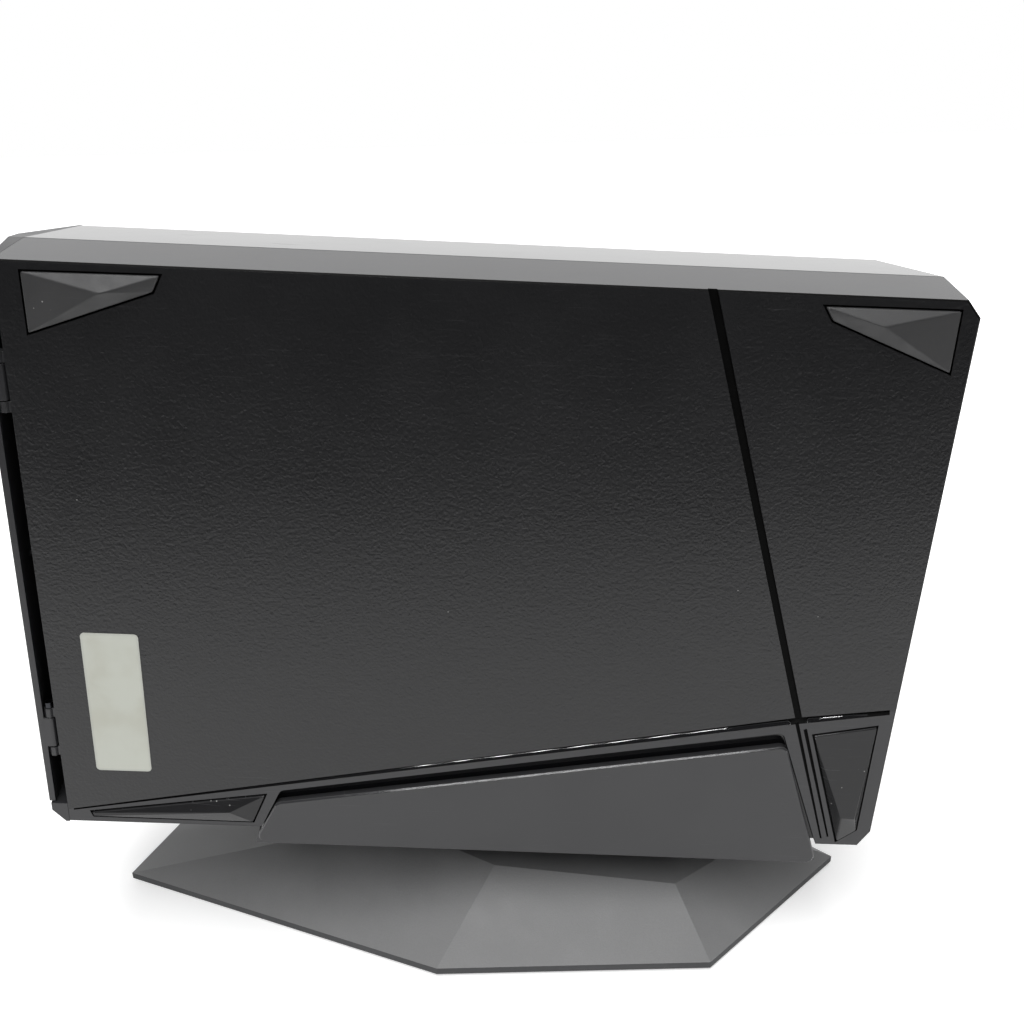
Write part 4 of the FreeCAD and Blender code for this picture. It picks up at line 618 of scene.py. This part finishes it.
def facetFoot(form, look, rim, foot):
    rings = [[form.verts.new(place(x, depth, z)) for x, z in look["outline"]] for depth in (foot, -rim)]
    form.faces.new(rings[0])
    for i in range(4):
        form.faces.new((rings[0][i], rings[0][i - 1], rings[1][i - 1], rings[1][i]))
    crest = [form.verts.new(place(x, -look["proud"], z)) for x, z in look["crest"]]
    a, b, c, d = rings[1]
    left, right = crest[0], crest[-1]  # the same point where the crest is a single peak
    for corners in ((a, b, right, left), (b, c, right), (c, d, left, right), (d, a, left)):
        form.faces.new(list(dict.fromkeys(corners)))


def makeGlossFeet():
    look = glossFeet
    form = bmesh.new()
    for end in ("rear", "front"):
        facetFoot(form, look[end], look["rim"], look["foot"])
    bmesh.ops.triangulate(form, faces=form.faces)
    bmesh.ops.recalc_face_normals(form, faces=form.faces)
    roundOff("glossFeetFacets", form, "gloss_feet", look["round"])


makeGlossFeet()
print("glossy feet cut")


# Gull-wing legs along the sides of every flat chip on a board; the tree's inputs are in metres
legSizes = {"Pitch": 0.0008, "Width": 0.00034, "Reach": 0.0010, "Rise": 0.0006, "Thickness": 0.00012}
# bend is in shares of the reach and merge in metres; inset and the thickest chip with legs are in mm
legLook = {"up": (0.0, 1.0, 0.0), "bend": (0.15, -0.25), "steps": 7, "merge": 0.000001,
           "inset": 0.5, "thickest": 1.6, "squarest": 1.3}


def geometryTree(name, sizes):
    tree = bpy.data.node_groups.new(name, "GeometryNodeTree")
    tree.interface.new_socket("Geometry", in_out="INPUT", socket_type="NodeSocketGeometry")
    for label, value in sizes.items():
        kind = {tuple: "NodeSocketVector", float: "NodeSocketFloat"}[type(value)]
        tree.interface.new_socket(label, in_out="INPUT", socket_type=kind).default_value = value
    tree.interface.new_socket("Geometry", in_out="OUTPUT", socket_type="NodeSocketGeometry")
    return tree, tree.nodes.new("NodeGroupInput").outputs


def endTree(tree, shape, finish):
    real = put(tree, "GeometryNodeRealizeInstances", {0: shape}).outputs[0]
    worn = put(tree, "GeometryNodeSetMaterial", {"Geometry": real, "Material": finish}).outputs[0]
    put(tree, "NodeGroupOutput", {0: worn})


def oneLeg(tree, given):
    # a strip that steps down from the body to the board, closed on all sides
    strip = put(tree, "GeometryNodeMeshGrid", {"Size X": given["Width"], "Size Y": given["Reach"],
                                               "Vertices X": 2, "Vertices Y": legLook["steps"]})
    along = axesOf(tree, put(tree, "GeometryNodeInputPosition").outputs[0])[1]
    share = calc(tree, "DIVIDE", along, given["Reach"])
    high = times(tree, between(tree, share, *legLook["bend"]), given["Rise"])
    shift = put(tree, "ShaderNodeCombineXYZ", {1: times(tree, given["Reach"], 0.5), 2: high}).outputs[0]
    bent = put(tree, "GeometryNodeSetPosition", {"Geometry": strip.outputs[0], "Offset": shift}).outputs[0]
    thick = put(tree, "ShaderNodeCombineXYZ", {2: given["Thickness"]}).outputs[0]
    raised = put(tree, "GeometryNodeExtrudeMesh", {"Mesh": bent, "Offset": thick, "Offset Scale": 1.0,
                                                   "Individual": False}).outputs[0]
    under = put(tree, "GeometryNodeFlipFaces", {"Mesh": bent}).outputs[0]
    both = tree.nodes.new("GeometryNodeJoinGeometry")
    for part in (raised, under):
        tree.links.new(part, both.inputs[0])
    return put(tree, "GeometryNodeMergeByDistance", {"Geometry": both.outputs[0],
                                                     "Distance": legLook["merge"]}).outputs[0]


def legTree():
    tree, given = geometryTree("chipLegs", dict(legSizes, Up=legLook["up"]))
    leg = oneLeg(tree, given)
    # the rows: the edges of the object's own mesh, one per chip side
    rows = put(tree, "GeometryNodeMeshToCurve", {"Mesh": given["Geometry"]}).outputs[0]
    spaced = put(tree, "GeometryNodeResampleCurve", {"Curve": rows, "Length": given["Pitch"]},
                 mode="LENGTH").outputs[0]
    upright = put(tree, "FunctionNodeAlignRotationToVector", {"Vector": given["Up"]}, axis="Z").outputs[0]
    tangent = put(tree, "GeometryNodeInputTangent").outputs[0]
    turned = put(tree, "FunctionNodeAlignRotationToVector", {"Rotation": upright, "Vector": tangent}, axis="X",
                 pivot_axis="Z").outputs[0]
    legs = put(tree, "GeometryNodeInstanceOnPoints", {"Points": spaced, "Instance": leg, "Rotation": turned})
    endTree(tree, legs.outputs[0], finishes["ground"])
    return tree


def looseBoxes(name):
    # the box of each separate solid of a node, in the housing's own mm
    form = bmesh.new()
    form.from_mesh(nodes[name].data)
    bmesh.ops.remove_doubles(form, verts=form.verts, dist=legLook["merge"])
    waiting, boxes = set(form.verts), []
    while waiting:
        stack, spots = [waiting.pop()], []
        while stack:
            vert = stack.pop()
            spots.append(housingSpot(vert.co))
            fresh = {edge.other_vert(vert) for edge in vert.link_edges} & waiting
            waiting -= fresh
            stack.extend(fresh)
        boxes.append(tuple((min(s[i] for s in spots), max(s[i] for s in spots)) for i in range(3)))
    form.free()
    return boxes


def layLegs(name, node, tree):
    look = legLook
    points, edges = [], []
    for (x0, x1), (y0, y1), (z0, z1) in sorted(looseBoxes(node)):
        if y1 - y0 > look["thickest"]:
            continue
        # a long chip has legs on its two long sides, a square one on all four
        sides = []
        if (x1 - x0) * look["squarest"] >= (z1 - z0):
            left, right = x0 + look["inset"], x1 - look["inset"]
            sides += [((right, z1), (left, z1)), ((left, z0), (right, z0))]
        if (z1 - z0) * look["squarest"] >= (x1 - x0):
            low, high = z0 + look["inset"], z1 - look["inset"]
            sides += [((x0, high), (x0, low)), ((x1, low), (x1, high))]
        for (ax, az), (bx, bz) in sides:
            edges.append((len(points), len(points) + 1))
            points += [place(ax, y0, az), place(bx, y0, bz)]
    mesh = bpy.data.meshes.new(name)
    mesh.from_pydata(points, edges, [])
    made = addObject(name, mesh)
    build = made.modifiers.new("legs", "NODES")
    build.node_group = tree
    for socket in tree.interface.items_tree:
        if socket.in_out == "INPUT" and socket.name in legSizes:
            build[socket.identifier] = legSizes[socket.name]
    freeze(made)
    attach(made, nodes[node]["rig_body"])
    return made


chipLegs = legTree()
for name, node in (("bridgeChipLegs", "bridge_chips"), ("driveChipLegs", "drive_chips")):
    print(name, len(layLegs(name, node, chipLegs).data.polygons), "faces")


# Stage: pale floor that glows white for the camera away from the object, so its shadow still shows
floorLook = {"reachFront": 0.30, "reachBack": 2.0, "reachSide": 1.6, "colour": (0.80, 0.80, 0.80),
             "roughness": 0.7, "shine": 0.2, "glowNear": 0.42, "glowFar": 1.0, "nearTo": 0.20, "farFrom": 0.55}


def makeFloor():
    look = floorLook
    mesh = bpy.data.meshes.new("floor")
    side, near, far = look["reachSide"], -look["reachFront"], look["reachBack"]
    mesh.from_pydata([(-side, near, 0), (side, near, 0), (side, far, 0), (-side, far, 0)], [], [(0, 1, 2, 3)])
    floor = addObject("floor", mesh)
    made = bpy.data.materials.new("paleFloor")
    made.use_nodes = True
    tree = made.node_tree
    tree.nodes.clear()
    rays = tree.nodes.new("ShaderNodeLightPath").outputs
    mirrored = calc(tree, "MAXIMUM", rays["Is Glossy Ray"], rays["Is Transmission Ray"])
    seen = calc(tree, "MAXIMUM", rays["Is Camera Ray"], mirrored)
    shader = put(tree, "ShaderNodeBsdfPrincipled", {
        "Base Color": (*look["colour"], 1), "Roughness": look["roughness"], "Specular IOR Level": look["shine"],
        "Emission Color": (1, 1, 1, 1)})
    spot = tree.nodes.new("ShaderNodeTexCoord").outputs["Object"]
    reach = put(tree, "ShaderNodeVectorMath", {0: spot}, operation="LENGTH").outputs["Value"]
    glow = between(tree, reach, look["nearTo"], look["farFrom"], look["glowNear"], look["glowFar"])
    tree.links.new(times(tree, seen, glow), shader.inputs["Emission Strength"])
    put(tree, "ShaderNodeOutputMaterial", {"Surface": shader.outputs[0]})
    mesh.materials.append(made)


# White for the camera all round; in reflections a white backdrop behind and a dim room in front
worldLook = {"light": 0.45, "backdrop": 1.0, "roomFront": 0.02, "rise": 0.5, "edge": 0.25}


def makeWorld():
    look = worldLook
    world = bpy.data.worlds.new("studio")
    bpy.context.scene.world = world
    world.use_nodes = True
    tree = world.node_tree
    tree.nodes.clear()
    rays = tree.nodes.new("ShaderNodeLightPath").outputs
    direction = axesOf(tree, tree.nodes.new("ShaderNodeTexCoord").outputs["Generated"])
    raised = plus(tree, direction[1], times(tree, direction[2], look["rise"]))
    behind = between(tree, raised, -look["edge"], look["edge"], look["roomFront"], look["backdrop"])
    mirrored = calc(tree, "MAXIMUM", rays["Is Glossy Ray"], rays["Is Transmission Ray"])
    level = put(tree, "ShaderNodeMix", {0: mirrored, 2: look["light"], 3: behind}).outputs[0]
    level = put(tree, "ShaderNodeMix", {0: rays["Is Camera Ray"], 2: level, 3: 1.0}).outputs[0]
    sky = put(tree, "ShaderNodeBackground", {"Color": (1, 1, 1, 1), "Strength": level})
    put(tree, "ShaderNodeOutputWorld", {"Surface": sky.outputs[0]})


# One soft lamp above, and a row of narrow strips above and behind the camera that glint on the bead
lampLooks = {"softTop": {"at": (0.0, 0.1, 1.25), "aim": (0.0, 0.0, 0.05), "size": (0.9, 0.7), "power": 6.5}}
stripRow = {"count": 9, "pitch": 0.055, "middle": -0.106, "back": -0.63, "high": 1.13, "aim": (0.0, 0.05),
            "size": (0.016, 0.9), "power": 1.1}
for number in range(stripRow["count"]):
    across = stripRow["middle"] + (number - (stripRow["count"] - 1) / 2) * stripRow["pitch"]
    lampLooks[f"strip{number + 1}"] = {"at": (across, stripRow["back"], stripRow["high"]),
                                       "aim": (across, *stripRow["aim"]),
                                       "size": stripRow["size"], "power": stripRow["power"]}


def makeLamps():
    for name, look in lampLooks.items():
        data = bpy.data.lights.new(name, "AREA")
        data.shape = "RECTANGLE"
        data.size, data.size_y = look["size"]
        data.energy = look["power"]
        lamp = addObject(name, data)
        lamp.location = look["at"]
        lamp.rotation_euler = (Vector(look["aim"]) - Vector(look["at"])).to_track_quat("-Z", "Y").to_euler()


# The camera stands where the photograph was taken from, turned in the housing's frame; angles in degrees
cameraLook = {"spot": (121.931, -267.916, 224.471), "yaw": 1.416, "pitch": 24.262, "roll": 2.758,
              "lens": 40.42, "sensor": 36.0, "clip": 0.01}


def makeCamera():
    look = cameraLook
    yaw, pitch, roll = (math.radians(look[angle]) for angle in ("yaw", "pitch", "roll"))
    ahead = Vector((math.sin(yaw) * math.cos(pitch), math.cos(yaw) * math.cos(pitch), -math.sin(pitch)))
    right = Vector((math.cos(yaw), -math.sin(yaw), 0.0))
    up = right.cross(ahead)
    rolledRight = right * math.cos(roll) + up * math.sin(roll)
    rolledUp = up * math.cos(roll) - right * math.sin(roll)
    turn = leanTurn @ Matrix((rolledRight, rolledUp, -ahead)).transposed()
    data = bpy.data.cameras.new("photoCamera")
    data.lens = look["lens"]
    data.sensor_width = look["sensor"]
    data.clip_start = look["clip"]
    camera = addObject("photoCamera", data)
    camera.matrix_world = Matrix.Translation(place(*look["spot"])) @ turn.to_4x4()
    bpy.context.scene.camera = camera


makeFloor()
makeWorld()
makeLamps()
makeCamera()
bpy.context.scene.view_settings.view_transform = "Standard"
print("stage set")

bpy.context.view_layer.update()
